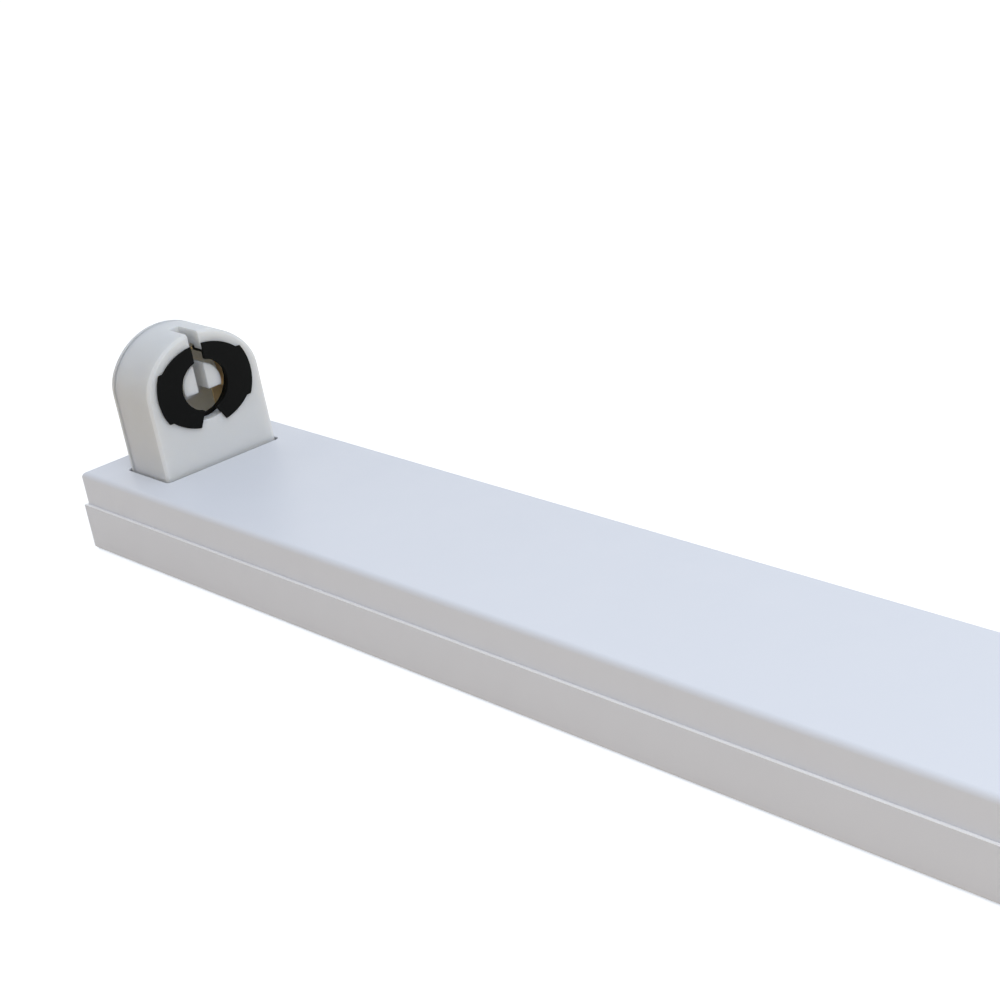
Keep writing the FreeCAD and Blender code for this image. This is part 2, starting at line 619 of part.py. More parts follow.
def screw(x, y, seat, radius, length):
    """A slotted pan-head screw standing in a hole, with the head on its seat."""
    head_radius = radius * SCREW_HEAD_RATIO_SHARE
    head_height = radius * SCREW_HEAD_HEIGHT_SHARE
    shank = small_rod(radius, (x, y, seat - length), ALONG_Z, length)
    head = small_rod(head_radius, (x, y, seat), ALONG_Z, head_height)
    width = head_radius * SCREW_SLOT_WIDTH_SHARE / 2
    depth = head_height * SCREW_SLOT_DEPTH_SHARE
    groove = block((x - head_radius, y - width, seat + head_height - depth),
                   (x + head_radius, y + width, seat + head_height + OVERRUN))
    return shank.fuse(head).cut(groove).removeSplitter()


# Electronic ballast
def ballast_case():
    """The folded lower half, with a fixing ear at each end."""
    half_width = BALLAST_WIDTH / 2
    low = SHEET
    rim = SHEET + BALLAST_HEIGHT - BALLAST_SHEET - BALLAST_FIT
    outer = block((BALLAST_X - BALLAST_END, -half_width + BALLAST_SHEET + BALLAST_FIT, low),
                  (BALLAST_X + BALLAST_END, half_width - BALLAST_SHEET - BALLAST_FIT, rim))
    shift = BALLAST_SHEET
    inner = block((BALLAST_X - BALLAST_END - OVERRUN, -half_width + 2 * shift + BALLAST_FIT, low + shift),
                  (BALLAST_X + BALLAST_END + OVERRUN, half_width - 2 * shift - BALLAST_FIT, rim + OVERRUN))
    case = outer.cut(inner)
    ears = []
    for side in (-1, 1):
        xs = sorted((BALLAST_X + side * BALLAST_END, BALLAST_X + side * (BALLAST_END + BALLAST_EAR_LENGTH)))
        ear = block((xs[0], -BALLAST_EAR_WIDTH / 2, low), (xs[1], BALLAST_EAR_WIDTH / 2, low + BALLAST_SHEET))
        ears.append(ear)
    holes = [small_hole(BALLAST_SCREW_RADIUS + SCREW_FIT, (x, y, 0), ALONG_Z, BALLAST_HEIGHT)
             for x, y in ballast_screw_places()]
    return case.fuse(ears).cut(holes).removeSplitter()


def ballast_lid():
    """The folded upper half, closed at the ends above the connectors."""
    top = SHEET + BALLAST_HEIGHT
    half_width = BALLAST_WIDTH / 2
    low = SHEET + BALLAST_LID_DROP
    end_low = SHEET + BALLAST_SHEET + CONNECTOR_HEIGHT + BALLAST_FIT
    outer = block((BALLAST_X - BALLAST_END - BALLAST_SHEET - BALLAST_FIT, -half_width, low),
                  (BALLAST_X + BALLAST_END + BALLAST_SHEET + BALLAST_FIT, half_width, top))
    outer = round_edges(outer, BALLAST_SHEET, lambda edge: flat_at(edge, top))
    inner = block((BALLAST_X - BALLAST_END - BALLAST_FIT, -half_width + BALLAST_SHEET, low - OVERRUN),
                  (BALLAST_X + BALLAST_END + BALLAST_FIT, half_width - BALLAST_SHEET, top - BALLAST_SHEET))
    reach = BALLAST_END + BALLAST_SHEET + BALLAST_FIT + OVERRUN
    gap = connector_width() / 2 + BALLAST_FIT
    doorway = block((BALLAST_X - reach, -gap, low - OVERRUN), (BALLAST_X + reach, gap, end_low))
    return outer.cut([inner, doorway]).removeSplitter()


def connector_width():
    """Room for four leads side by side."""
    return 4 * CONNECTOR_PITCH


def ballast_connector(side, ways):
    """A push-in connector in one end of the ballast, with a hole for each lead."""
    xs = sorted((BALLAST_X + side * (BALLAST_END + CONNECTOR_PROUD),
                 BALLAST_X + side * (BALLAST_END + CONNECTOR_PROUD - CONNECTOR_LENGTH)))
    low = SHEET + BALLAST_SHEET
    half = connector_width() / 2
    body = block((xs[0], -half, low), (xs[1], half, low + CONNECTOR_HEIGHT))
    mouth = BALLAST_X + side * (BALLAST_END + CONNECTOR_PROUD)
    cuts = []
    for y in connector_places(ways):
        cuts.append(small_hole(HOLE_RADIUS, (mouth + side * OVERRUN, y, LEAD_HEIGHT), ALONG_X * -side,
                               LEAD_INSERTION + LEAD_FIT + OVERRUN))
    return body.cut(cuts)


def connector_places(ways):
    return [(index - (ways - 1) / 2) * CONNECTOR_PITCH for index in range(ways)]


def ballast_board():
    """The circuit board on four feet, with its choke, capacitors and suppressors."""
    half_width = BALLAST_WIDTH / 2 - 2 * BALLAST_SHEET - BALLAST_FIT - BOARD_EDGE
    reach = BALLAST_END - CONNECTOR_LENGTH + CONNECTOR_PROUD - BOARD_EDGE
    floor = SHEET + BALLAST_SHEET
    low = floor + BOARD_RISE
    high = low + BOARD_SHEET
    board = block((BALLAST_X - reach, -half_width, low), (BALLAST_X + reach, half_width, high))
    parts = []
    foot_x = reach - 2 * BOARD_FOOT_RADIUS
    foot_y = half_width - 2 * BOARD_FOOT_RADIUS
    for side_x in (-1, 1):
        for side_y in (-1, 1):
            foot = (BALLAST_X + side_x * foot_x, side_y * foot_y, floor)
            parts.append(small_rod(BOARD_FOOT_RADIUS, foot, ALONG_Z, BOARD_RISE))
    length, width, height = CHOKE_SIZE
    parts.append(block((BALLAST_X - length / 2, -width / 2, high),
                       (BALLAST_X + length / 2, width / 2, high + height)))
    for side in (-1, 1):
        start = BALLAST_X + side * reach / 2 - CAPACITOR_LENGTH / 2
        axis = (start, -half_width / 2, high + CAPACITOR_RADIUS * CAPACITOR_SEAT_SHARE)
        parts.append(sided_rod(2 * SMALL_SIDES, CAPACITOR_RADIUS, axis, ALONG_X, CAPACITOR_LENGTH))
        length, width, height = SUPPRESSOR_SIZE
        middle = BALLAST_X + side * reach / 2
        parts.append(block((middle - length / 2, half_width / 2 - width / 2, high),
                           (middle + length / 2, half_width / 2 + width / 2, high + height)))
    return board.fuse(parts).removeSplitter()


def ballast_screws():
    seat = SHEET + BALLAST_SHEET
    solids = [screw(x, y, seat, BALLAST_SCREW_RADIUS, seat) for x, y in ballast_screw_places()]
    return Part.makeCompound(solids)


# Mains terminal block: three ways side by side, the leads entering along X
def terminal_places():
    return [(index - 1) * TERMINAL_PITCH for index in range(3)]


def terminal_screw_places():
    reach = TERMINAL_LENGTH / 2 - TERMINAL_SCREW_INSET
    return [(TERMINAL_X + side * reach, y) for side in (-1, 1) for y in terminal_places()]


def terminal_body():
    length = TERMINAL_LENGTH / 2
    half = TERMINAL_WIDTH / 2
    top = SHEET + TERMINAL_HEIGHT
    shoulder = top - TERMINAL_STEP
    body = block((TERMINAL_X - length, -half, SHEET), (TERMINAL_X + length, half, shoulder))
    raised = []
    for y in terminal_places():
        reach = TERMINAL_PITCH / 2 - TERMINAL_WALL / 2
        raised.append(block((TERMINAL_X - length, y - reach, shoulder),
                            (TERMINAL_X + length, y + reach, top)))
    feet = []
    for side in (-1, 1):
        ys = sorted((side * half, side * (half + TERMINAL_FOOT)))
        feet.append(block((TERMINAL_X - TERMINAL_FOOT / 2, ys[0], SHEET),
                          (TERMINAL_X + TERMINAL_FOOT / 2, ys[1], SHEET + TERMINAL_WALL)))
    cuts = []
    for y in terminal_places():
        room = TERMINAL_BORE_RADIUS + TERMINAL_INSERT_WALL
        cuts.append(block((TERMINAL_X - length - OVERRUN, y - room, LEAD_HEIGHT - room),
                          (TERMINAL_X + length + OVERRUN, y + room, LEAD_HEIGHT + room)))
    for x, y in terminal_screw_places():
        well = TERMINAL_SCREW_RADIUS + SCREW_FIT
        cuts.append(small_hole(well, (x, y, LEAD_HEIGHT), ALONG_Z, top))
    return body.fuse(raised + feet).cut(cuts).removeSplitter()


def terminal_inserts():
    """Square brass sleeves that the conductors and screws meet in."""
    solids = []
    length = TERMINAL_LENGTH - 2 * TERMINAL_WALL
    outer = TERMINAL_BORE_RADIUS + TERMINAL_INSERT_WALL - SCREW_FIT / 2
    for y in terminal_places():
        start = (TERMINAL_X - length / 2, y, LEAD_HEIGHT)
        sleeve = block((start[0], y - outer, LEAD_HEIGHT - outer),
                       (start[0] + length, y + outer, LEAD_HEIGHT + outer))
        sleeve = sleeve.cut(small_hole(TERMINAL_BORE_RADIUS, start, ALONG_X, length))
        for x, screw_y in terminal_screw_places():
            if screw_y == y:
                screw_hole = TERMINAL_SCREW_RADIUS + THREAD_FIT
                hole = small_hole(screw_hole, (x, y, LEAD_HEIGHT), ALONG_Z, TERMINAL_HEIGHT)
                sleeve = sleeve.cut(hole)
        solids.append(sleeve)
    return Part.makeCompound(solids)


def terminal_screws():
    seat = SHEET + TERMINAL_HEIGHT - TERMINAL_STEP
    length = seat - LEAD_HEIGHT - TERMINAL_BORE_RADIUS + THREAD_FIT
    solids = []
    for x, y in terminal_screw_places():
        low = seat - length
        grub = small_rod(TERMINAL_SCREW_RADIUS, (x, y, low), ALONG_Z, length + TERMINAL_STEP / 2)
        groove_width = TERMINAL_SCREW_RADIUS * SCREW_SLOT_WIDTH_SHARE
        groove_low = seat + TERMINAL_STEP / 2 - TERMINAL_SCREW_RADIUS * SCREW_SLOT_DEPTH_SHARE
        groove = block((x - TERMINAL_SCREW_RADIUS, y - groove_width / 2, groove_low),
                       (x + TERMINAL_SCREW_RADIUS, y + groove_width / 2, seat + TERMINAL_STEP))
        solids.append(grub.cut(groove))
    return Part.makeCompound(solids)


# Earth stud, stacked upwards: base, lug, toothed washer, nut
def lug_low():
    return SHEET + STUD_BASE_HEIGHT


def washer_low():
    return lug_low() + LUG_SHEET


def nut_low():
    return washer_low() + WASHER_SHEET


def earth_stud():
    base = small_rod(STUD_BASE_RADIUS, (EARTH_X, EARTH_Y, SHEET), ALONG_Z, STUD_BASE_HEIGHT)
    shaft = small_rod(STUD_RADIUS, (EARTH_X, EARTH_Y, SHEET), ALONG_Z, STUD_HEIGHT)
    return base.fuse(shaft).removeSplitter()


def earth_lug():
    """A crimped ring lug: its tongue turns towards the terminal block."""
    low = lug_low()
    ring = sided_rod(2 * SMALL_SIDES, LUG_RADIUS, (EARTH_X, EARTH_Y, low), ALONG_Z, LUG_SHEET)
    barrel_x = EARTH_X + LUG_RADIUS + LUG_BARREL_LENGTH / 2
    tongue = block((EARTH_X, EARTH_Y - LUG_BARREL_RADIUS, low),
                   (barrel_x, EARTH_Y + LUG_BARREL_RADIUS, low + LUG_SHEET))
    centre = (barrel_x, EARTH_Y, low + LUG_BARREL_RADIUS)
    barrel = small_rod(LUG_BARREL_RADIUS, centre, ALONG_X, LUG_BARREL_LENGTH)
    bore = small_hole(HOLE_RADIUS, centre, ALONG_X, LUG_BARREL_LENGTH + OVERRUN)
    hole = small_hole(STUD_RADIUS + THREAD_FIT, (EARTH_X, EARTH_Y, 0), ALONG_Z, STUD_HEIGHT)
    return ring.fuse([tongue, barrel]).cut([bore.cut(tongue), hole]).removeSplitter()


def earth_washer():
    """A toothed lock washer: radial teeth round its rim."""
    low = washer_low()
    disc = sided_rod(2 * WASHER_TEETH, WASHER_RADIUS, (EARTH_X, EARTH_Y, low), ALONG_Z, WASHER_SHEET)
    pitch = 2 * math.pi * WASHER_RADIUS / WASHER_TEETH
    cuts = [small_hole(STUD_RADIUS + THREAD_FIT, (EARTH_X, EARTH_Y, 0), ALONG_Z, STUD_HEIGHT)]
    for index in range(WASHER_TEETH):
        notch = block((EARTH_X + WASHER_RADIUS - pitch / 3, EARTH_Y - pitch / 5, low - OVERRUN),
                      (EARTH_X + WASHER_RADIUS + OVERRUN, EARTH_Y + pitch / 5, low + WASHER_SHEET + OVERRUN))
        notch.rotate(Vector(EARTH_X, EARTH_Y, 0), ALONG_Z, 360 * index / WASHER_TEETH)
        cuts.append(notch)
    return disc.cut(cuts)


def earth_nut():
    radius = NUT_ACROSS_FLATS / math.sqrt(3)
    corners = []
    for index in range(6):
        angle = math.radians(60 * index)
        corners.append((EARTH_X + radius * math.cos(angle), EARTH_Y + radius * math.sin(angle), nut_low()))
    nut = prism(corners, ALONG_Z * NUT_HEIGHT)
    hole = small_hole(STUD_RADIUS + THREAD_FIT, (EARTH_X, EARTH_Y, 0), ALONG_Z, STUD_HEIGHT + OVERRUN)
    return nut.cut(hole)


# Internal leads
def lead(points):
    """Insulated wire along straight runs joined by tangent arcs."""
    places = [Vector(*point) for point in points]
    edges = []
    last = places[0]
    for before, corner, after in zip(places, places[1:], places[2:]):
        inward = corner - before
        outward = after - corner
        turn = inward.getAngle(outward)
        bend = LEAD_BEND_SHARE * min(inward.Length, outward.Length) / math.tan(turn / 2)
        trim = bend * math.tan(turn / 2)
        inward.normalize()
        outward.normalize()
        start = corner - inward * trim
        finish = corner + outward * trim
        towards = outward - inward
        towards.normalize()
        middle = corner + towards * (bend / math.cos(turn / 2) - bend)
        edges.append(Part.LineSegment(last, start).toShape())
        edges.append(Part.Arc(start, middle, finish).toShape())
        last = finish
    edges.append(Part.LineSegment(last, places[-1]).toShape())
    spine = Part.Wire(edges)
    corners = []
    for index in range(LEAD_SIDES + 1):
        angle = 2 * math.pi * index / LEAD_SIDES
        corners.append(places[0] + Vector(0, math.cos(angle), math.sin(angle)) * LEAD_RADIUS)
    return spine.makePipeShell([Part.makePolygon(corners)], True, False)


def ballast_mouth(side):
    """Where a lead's end stops inside a ballast connector."""
    return BALLAST_X + side * (BALLAST_END + CONNECTOR_PROUD - LEAD_INSERTION)


def holder_entry(end, side):
    """The turning point under a lampholder's lead hole, and the lead's end above it."""
    x = end * (FACE_X + WIRE_U)
    y = end * side * WIRE_Y
    return (x, y, LEAD_HEIGHT), (x, y, HOLDER_FLOOR_Z + LEAD_INSERTION)


def side_run_y(index):
    """The two leads that pass beside the ballast to the far lampholder."""
    return -(BALLAST_WIDTH / 2 + LEAD_SIDE_GAP + LEAD_RADIUS + index * LEAD_STEP)


def mains_lead(index):
    """Live and neutral, from the terminal block to the ballast's mains connector."""
    ways = connector_places(2)
    start = TERMINAL_X - TERMINAL_LENGTH / 2 + TERMINAL_WALL + LEAD_FIT
    y = terminal_places()[index]
    finish = ballast_mouth(1)
    run = start - finish
    return lead([(start, y, LEAD_HEIGHT), (start - run / 4, y, LEAD_HEIGHT),
                 (finish + run / 4, ways[index], LEAD_HEIGHT), (finish, ways[index], LEAD_HEIGHT)])


def earth_lead():
    start = TERMINAL_X - TERMINAL_LENGTH / 2 + TERMINAL_WALL + LEAD_FIT
    y = terminal_places()[2]
    finish = EARTH_X + LUG_RADIUS + LUG_BARREL_LENGTH / 2 + LEAD_FIT
    height = lug_low() + LUG_BARREL_RADIUS
    run = start - finish
    return lead([(start, y, LEAD_HEIGHT), (start - run / 4, y, LEAD_HEIGHT),
                 (finish + run / 3, EARTH_Y, height), (finish, EARTH_Y, height)])


def near_lead(index):
    """The two leads from the lamp connector to the lampholder beside it."""
    y = connector_places(4)[2 + index]
    start = ballast_mouth(-1)
    turn, finish = holder_entry(-1, 1 - 2 * index)
    leave = 2 * near_clip_x() - start
    return lead([(start, y, LEAD_HEIGHT), (leave, y, LEAD_HEIGHT),
                 ((leave + turn[0]) / 2, turn[1], LEAD_HEIGHT), turn, finish])


def far_lead(index):
    """The two leads that turn back beside the ballast to the lampholder at the far end."""
    y = connector_places(4)[1 - index]
    start = ballast_mouth(-1)
    loop = BALLAST_X - BALLAST_END - BALLAST_EAR_LENGTH - (1 - index) * LEAD_STEP
    side = side_run_y(1 - index)
    turn, finish = holder_entry(1, 2 * index - 1)
    swing = FACE_X - BRACKET_FRONT
    leave = swing - (2 + 2 * index) * (ENTRY_DISH_RADIUS - SHEET)
    return lead([(start, y, LEAD_HEIGHT), (loop, y, LEAD_HEIGHT), (loop, side, LEAD_HEIGHT),
                 (leave, side, LEAD_HEIGHT), (swing - OVERRUN * index, turn[1], LEAD_HEIGHT), turn, finish])


def near_clip_x():
    """The middle of the saddle just past the ballast's ear."""
    return BALLAST_X - BALLAST_END - 1.5 * BALLAST_EAR_LENGTH


def lead_clip(x, places):
    """A moulded saddle stuck to the tray, closed over its leads."""
    low = min(places) - LEAD_RADIUS - LEAD_CLIP_WALL
    high = max(places) + LEAD_RADIUS + LEAD_CLIP_WALL
    saddle = block((x - LEAD_CLIP_LENGTH / 2, low, SHEET),
                   (x + LEAD_CLIP_LENGTH / 2, high, LEAD_HEIGHT + LEAD_RADIUS + LEAD_CLIP_WALL))
    holes = [small_hole(HOLE_RADIUS, (x - LEAD_CLIP_LENGTH, y, LEAD_HEIGHT), ALONG_X, 2 * LEAD_CLIP_LENGTH)
             for y in places]
    return saddle.cut(holes)


def lead_clips():
    near = connector_places(4)[2:]
    far = [side_run_y(0), side_run_y(1)]
    solids = [lead_clip(near_clip_x(), near)]
    for x in (BALLAST_X, TERMINAL_X - TERMINAL_LENGTH, ENTRY_X + 2 * ENTRY_DISH_RADIUS):
        solids.append(lead_clip(x, far))
    return Part.makeCompound(solids)


def build():
    save("base_tray", base_tray())
    save("cover", cover())
    save("bracket_rivets", bracket_rivets())
    save("cover_clips", cover_clips())
    save("cable_grommet", cable_grommet())
    save("ballast_case", ballast_case())
    save("ballast_lid", ballast_lid())
    save("ballast_board", ballast_board())
    save("ballast_mains_connector", ballast_connector(1, 2))
    save("ballast_lamp_connector", ballast_connector(-1, 4))
    save("ballast_screws", ballast_screws())
    save("terminal_body", terminal_body())
    save("terminal_inserts", terminal_inserts())
    save("terminal_screws", terminal_screws())
    save("earth_stud", earth_stud())
    save("earth_lug", earth_lug())
    save("earth_washer", earth_washer())
    save("earth_nut", earth_nut())
    save("lead_live", mains_lead(0))
    save("lead_neutral", mains_lead(1))
    save("lead_earth", earth_lead())
    save("lead_clips", lead_clips())
    for index, letter in enumerate("ab"):
        save("lead_left_" + letter, near_lead(index))
        save("lead_right_" + letter, far_lead(index))
    parts = {"housing": holder_housing(), "rear_cover": holder_rear_cover(), "rotor": holder_rotor(),
             "contact_a": holder_contact(-1), "contact_b": holder_contact(1)}
    bracket = holder_bracket()
    for end, name in ((-1, "left"), (1, "right")):
        save("holder_bracket_" + name, at_end(bracket, end))
        for part, shape in parts.items():
            save("holder_" + part + "_" + name, at_end(shape, end))


build()
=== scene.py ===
# %% [markdown]
# # A tube light batten, dressed for its picture
# The object is a white sheet-steel batten for one straight tube lamp. It lies on its back with no lamp
# in it, so the D-shaped lampholder with its black rotor is what the eye goes to.
# The construction is already made as a frame of solid nodes. This script only gives each surface its
# finish, adds the small things that a maker would see up close, and sets up the studio.

# %% Load the frame
import json
import math
import bpy
import bmesh
from mathutils import Matrix, Vector


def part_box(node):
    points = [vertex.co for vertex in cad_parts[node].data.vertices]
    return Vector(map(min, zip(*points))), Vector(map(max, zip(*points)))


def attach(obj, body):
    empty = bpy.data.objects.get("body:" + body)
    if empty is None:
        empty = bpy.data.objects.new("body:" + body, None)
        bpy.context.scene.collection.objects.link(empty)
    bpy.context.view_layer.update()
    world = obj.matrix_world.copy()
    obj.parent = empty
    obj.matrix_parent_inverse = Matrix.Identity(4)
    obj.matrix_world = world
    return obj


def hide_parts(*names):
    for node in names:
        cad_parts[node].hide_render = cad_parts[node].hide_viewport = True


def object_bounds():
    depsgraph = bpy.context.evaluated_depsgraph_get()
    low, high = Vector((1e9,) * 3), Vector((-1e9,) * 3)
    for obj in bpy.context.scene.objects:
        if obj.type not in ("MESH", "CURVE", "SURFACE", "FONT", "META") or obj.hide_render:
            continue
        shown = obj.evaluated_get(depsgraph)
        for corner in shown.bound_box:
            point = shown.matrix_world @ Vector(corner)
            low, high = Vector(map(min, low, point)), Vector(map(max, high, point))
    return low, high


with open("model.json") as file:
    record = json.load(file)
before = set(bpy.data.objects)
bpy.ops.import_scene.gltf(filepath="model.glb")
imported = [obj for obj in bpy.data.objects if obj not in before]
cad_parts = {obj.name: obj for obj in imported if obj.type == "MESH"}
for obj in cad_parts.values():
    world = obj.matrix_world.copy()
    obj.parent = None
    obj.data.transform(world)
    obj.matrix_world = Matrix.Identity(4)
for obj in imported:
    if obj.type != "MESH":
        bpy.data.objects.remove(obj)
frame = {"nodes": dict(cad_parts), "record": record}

MM = 0.001
nodes = frame["nodes"]
node_slot = {part["node"]: part["material_slot"] for part in frame["record"]["subparts"]}
cad_low, cad_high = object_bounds()
print("frame:", len(nodes), "nodes, size in mm", [round((h - l) / MM, 1) for l, h in zip(cad_low, cad_high)])

# %% [markdown]
# ## The camera
# The picture was taken with a long lens from in front of the near side, a little above the batten and
# turned a few degrees round its own axis. The place, the two angles and the roll were found by matching
# the batten's four long edges and the lampholder's outline, so they are kept as plain measured values.
# No lens shift is used, because the other views of the object keep the camera's shift.

# %% Camera
CAMERA_PLACE = Vector((259.5, -283.5, 223.2)) * MM
CAMERA_YAW = math.radians(32.69)
CAMERA_PITCH = math.radians(20.12)
CAMERA_ROLL = math.radians(11.66)
CAMERA_LENS = 100.8
CAMERA_SENSOR = 36.0


def camera_turn(yaw, pitch, roll):
    """The camera's rotation: looking towards -X and +Y, down by the pitch, then rolled."""
    forward = Vector((-math.cos(yaw) * math.cos(pitch), math.sin(yaw) * math.cos(pitch), -math.sin(pitch)))
    level = forward.cross(Vector((0, 0, 1))).normalized()
    down = forward.cross(level)
    right = math.cos(roll) * level + math.sin(roll) * down
    up = math.sin(roll) * level - math.cos(roll) * down
    return Matrix((right, up, -forward)).transposed()


camera = bpy.data.objects.new("camera", bpy.data.cameras.new("camera"))
camera.data.sensor_width = CAMERA_SENSOR
camera.data.lens = CAMERA_LENS
camera.data.clip_start = 10 * MM
camera_facing = camera_turn(CAMERA_YAW, CAMERA_PITCH, CAMERA_ROLL)
camera.matrix_world = Matrix.LocRotScale(CAMERA_PLACE, camera_facing, None)
bpy.context.scene.collection.objects.link(camera)
bpy.context.scene.camera = camera
print("camera:", [round(v / MM, 1) for v in CAMERA_PLACE], "lens", CAMERA_LENS)

# %% [markdown]
# ## The studio
# The object lies on white paper in soft light. Two things give the picture its mood: cool daylight from
# above, and a dimmer, warmer light on the side that faces the camera, which is only the room and the
# bounce from the paper. Two lamps could give both, but they would show as highlights on the paint, so a
# world that changes slowly with direction does it. The background is white because the camera sees the world
# and the paper brighter than the object does, and not because the light is strong. The paper keeps its
# shadow.

# %% Node helpers
bpy.context.scene.view_settings.view_transform = "Standard"


def adder(tree):
    """A short way to add a node to a tree with its settings."""
    def add(kind, **settings):
        node = tree.nodes.new(kind)
        for name, value in settings.items():
            setattr(node, name, value)
        return node
    return add


def shader_tree(owner):
    """An empty node tree, and the short way to add nodes to it."""
    owner.use_nodes = True
    owner.node_tree.nodes.clear()
    return owner.node_tree, adder(owner.node_tree)


def set_output(tree, add, kind, socket):
    tree.links.new(socket, add(kind).inputs["Surface"])


def background_rays(tree, add):
    """A value of 1 for the rays that show the background: camera, glossy and transmission."""
    path = add("ShaderNodeLightPath")
    first = add("ShaderNodeMath", operation="MAXIMUM")
    second = add("ShaderNodeMath", operation="MAXIMUM")
    tree.links.new(path.outputs["Is Camera Ray"], first.inputs[0])
    tree.links.new(path.outputs["Is Glossy Ray"], first.inputs[1])
    tree.links.new(first.outputs[0], second.inputs[0])
    tree.links.new(path.outputs["Is Transmission Ray"], second.inputs[1])
    return second.outputs[0]


def blend_colours(tree, add, factor, first, second):
    """Two colours, or sockets that carry one, mixed by a factor."""
    mix = add("ShaderNodeMix", data_type="RGBA")
    tree.links.new(factor, mix.inputs[0])
    for value, socket in ((first, mix.inputs[6]), (second, mix.inputs[7])):
        if isinstance(value, bpy.types.NodeSocket):
            tree.links.new(value, socket)
        else:
            socket.default_value = (*value, 1.0)
    return mix.outputs[2]


def spread(tree, add, value, low, high, start=0.0, end=1.0):
    """A value carried from one range to another."""
    node = add("ShaderNodeMapRange")
    for name, number in (("From Min", start), ("From Max", end), ("To Min", low), ("To Max", high)):
        node.inputs[name].default_value = number
    tree.links.new(value, node.inputs["Value"])
    return node.outputs["Result"]


# %% World and paper
SKY_TOP = (0.80, 0.88, 1.0)
SKY_LOW = (0.90, 0.88, 0.86)
SKY_TOP_FROM = 0.7
NEAR_SIDE = (0.212, 0.147, 0.088)
NEAR_SIDE_LEAN = 0.9
NEAR_SIDE_FADE = (-0.9, 0.2)
SKY_STRENGTH = 0.84
PAPER_DROP = 0.05
PAPER_SIZE = 8.0
PAPER_COLOUR = (0.83, 0.72, 0.59)
PAPER_LIFT = (0.51, 0.59, 0.68)


def make_world():
    world = bpy.data.worlds.new("studio")
    bpy.context.scene.world = world
    tree, add = shader_tree(world)
    split = add("ShaderNodeSeparateXYZ")
    tree.links.new(add("ShaderNodeTexCoord").outputs["Generated"], split.inputs[0])
    rise = spread(tree, add, split.outputs["Z"], 0, 1, 0.0, SKY_TOP_FROM)
    sky = blend_colours(tree, add, rise, SKY_LOW, SKY_TOP)
    height = add("ShaderNodeMath", operation="MULTIPLY_ADD")
    height.inputs[1].default_value = NEAR_SIDE_LEAN
    tree.links.new(split.outputs["Z"], height.inputs[0])
    tree.links.new(split.outputs["Y"], height.inputs[2])
    nearness = spread(tree, add, height.outputs[0], 1, 0, *NEAR_SIDE_FADE)
    room = blend_colours(tree, add, nearness, sky, NEAR_SIDE)
    soft = add("ShaderNodeBackground")
    soft.inputs["Strength"].default_value = SKY_STRENGTH
    tree.links.new(room, soft.inputs["Color"])
    white = add("ShaderNodeBackground")
    white.inputs["Color"].default_value = (1.0, 1.0, 1.0, 1.0)
    both = add("ShaderNodeMixShader")
    tree.links.new(background_rays(tree, add), both.inputs["Fac"])
    tree.links.new(soft.outputs[0], both.inputs[1])
    tree.links.new(white.outputs[0], both.inputs[2])
    set_output(tree, add, "ShaderNodeOutputWorld", both.outputs[0])


def make_paper():
    mesh = bpy.data.meshes.new("paper")
    half = PAPER_SIZE / 2
    low = cad_low[2] - PAPER_DROP * MM
    mesh.from_pydata([(-half, -half, low), (half, -half, low), (half, half, low), (-half, half, low)],
                     [], [(0, 1, 2, 3)])
    paper = bpy.data.objects.new("paper", mesh)
    bpy.context.scene.collection.objects.link(paper)
    material = bpy.data.materials.new("paper")
    tree, add = shader_tree(material)
    matte = add("ShaderNodeBsdfDiffuse")
    matte.inputs["Color"].default_value = (*PAPER_COLOUR, 1.0)
    glow = add("ShaderNodeEmission")
    glow.inputs["Color"].default_value = (*PAPER_LIFT, 1.0)
    tree.links.new(background_rays(tree, add), glow.inputs["Strength"])
    both = add("ShaderNodeAddShader")
    tree.links.new(matte.outputs[0], both.inputs[0])
    tree.links.new(glow.outputs[0], both.inputs[1])
    set_output(tree, add, "ShaderNodeOutputMaterial", both.outputs[0])
    mesh.materials.append(material)


make_world()
make_paper()
print("studio: paper", PAPER_SIZE, "m square, sky strength", SKY_STRENGTH)

# %% [markdown]
# ### A soft lamp
# In the picture the cover is a little brighter at its open end than beside the lampholder, as it is when
# a window stands on that side. A sun lamp would light both ends alike. An area lamp close to the batten
# falls off along it, and its size keeps every shadow soft.

# %% Soft lamp above the open end
WINDOW_PLACE = Vector((0.35, -0.09, 0.60))
WINDOW_TARGET = Vector((0.0, 0.0, 0.0))
WINDOW_SIZE = 0.6
WINDOW_POWER = 2.2
WINDOW_COLOUR = (0.90, 0.95, 1.0)

window = bpy.data.objects.new("window", bpy.data.lights.new("window", "AREA"))
window.data.shape = "SQUARE"
window.data.size = WINDOW_SIZE
window.data.energy = WINDOW_POWER
window.data.color = WINDOW_COLOUR
window.location = WINDOW_PLACE
window.rotation_euler = (WINDOW_TARGET - WINDOW_PLACE).to_track_quat("-Z", "Y").to_euler()
bpy.context.scene.collection.objects.link(window)
print("window lamp:", WINDOW_SIZE, "m wide, power", WINDOW_POWER)

# %% [markdown]
# ## Finishes
# Most surfaces here share one recipe: a colour that drifts a little from place to place, a gloss that
# varies on a finer scale, and a relief finer still. One helper builds it, and each finish only gives its
# own colours and sizes. Constants go on the shader's own sockets, so that an exported model keeps them.
# Sizes of grain are given in millimetres, because that is how one would judge them on the real thing.

# %% Recipe shared by the finishes
COLOUR_DETAIL = 3.0
FINE_DETAIL = 2.0
GLOSS_PATCHES = 8
GLOSS_SPREAD = (0.3, 0.7)
RELIEF_STRENGTH = 0.5


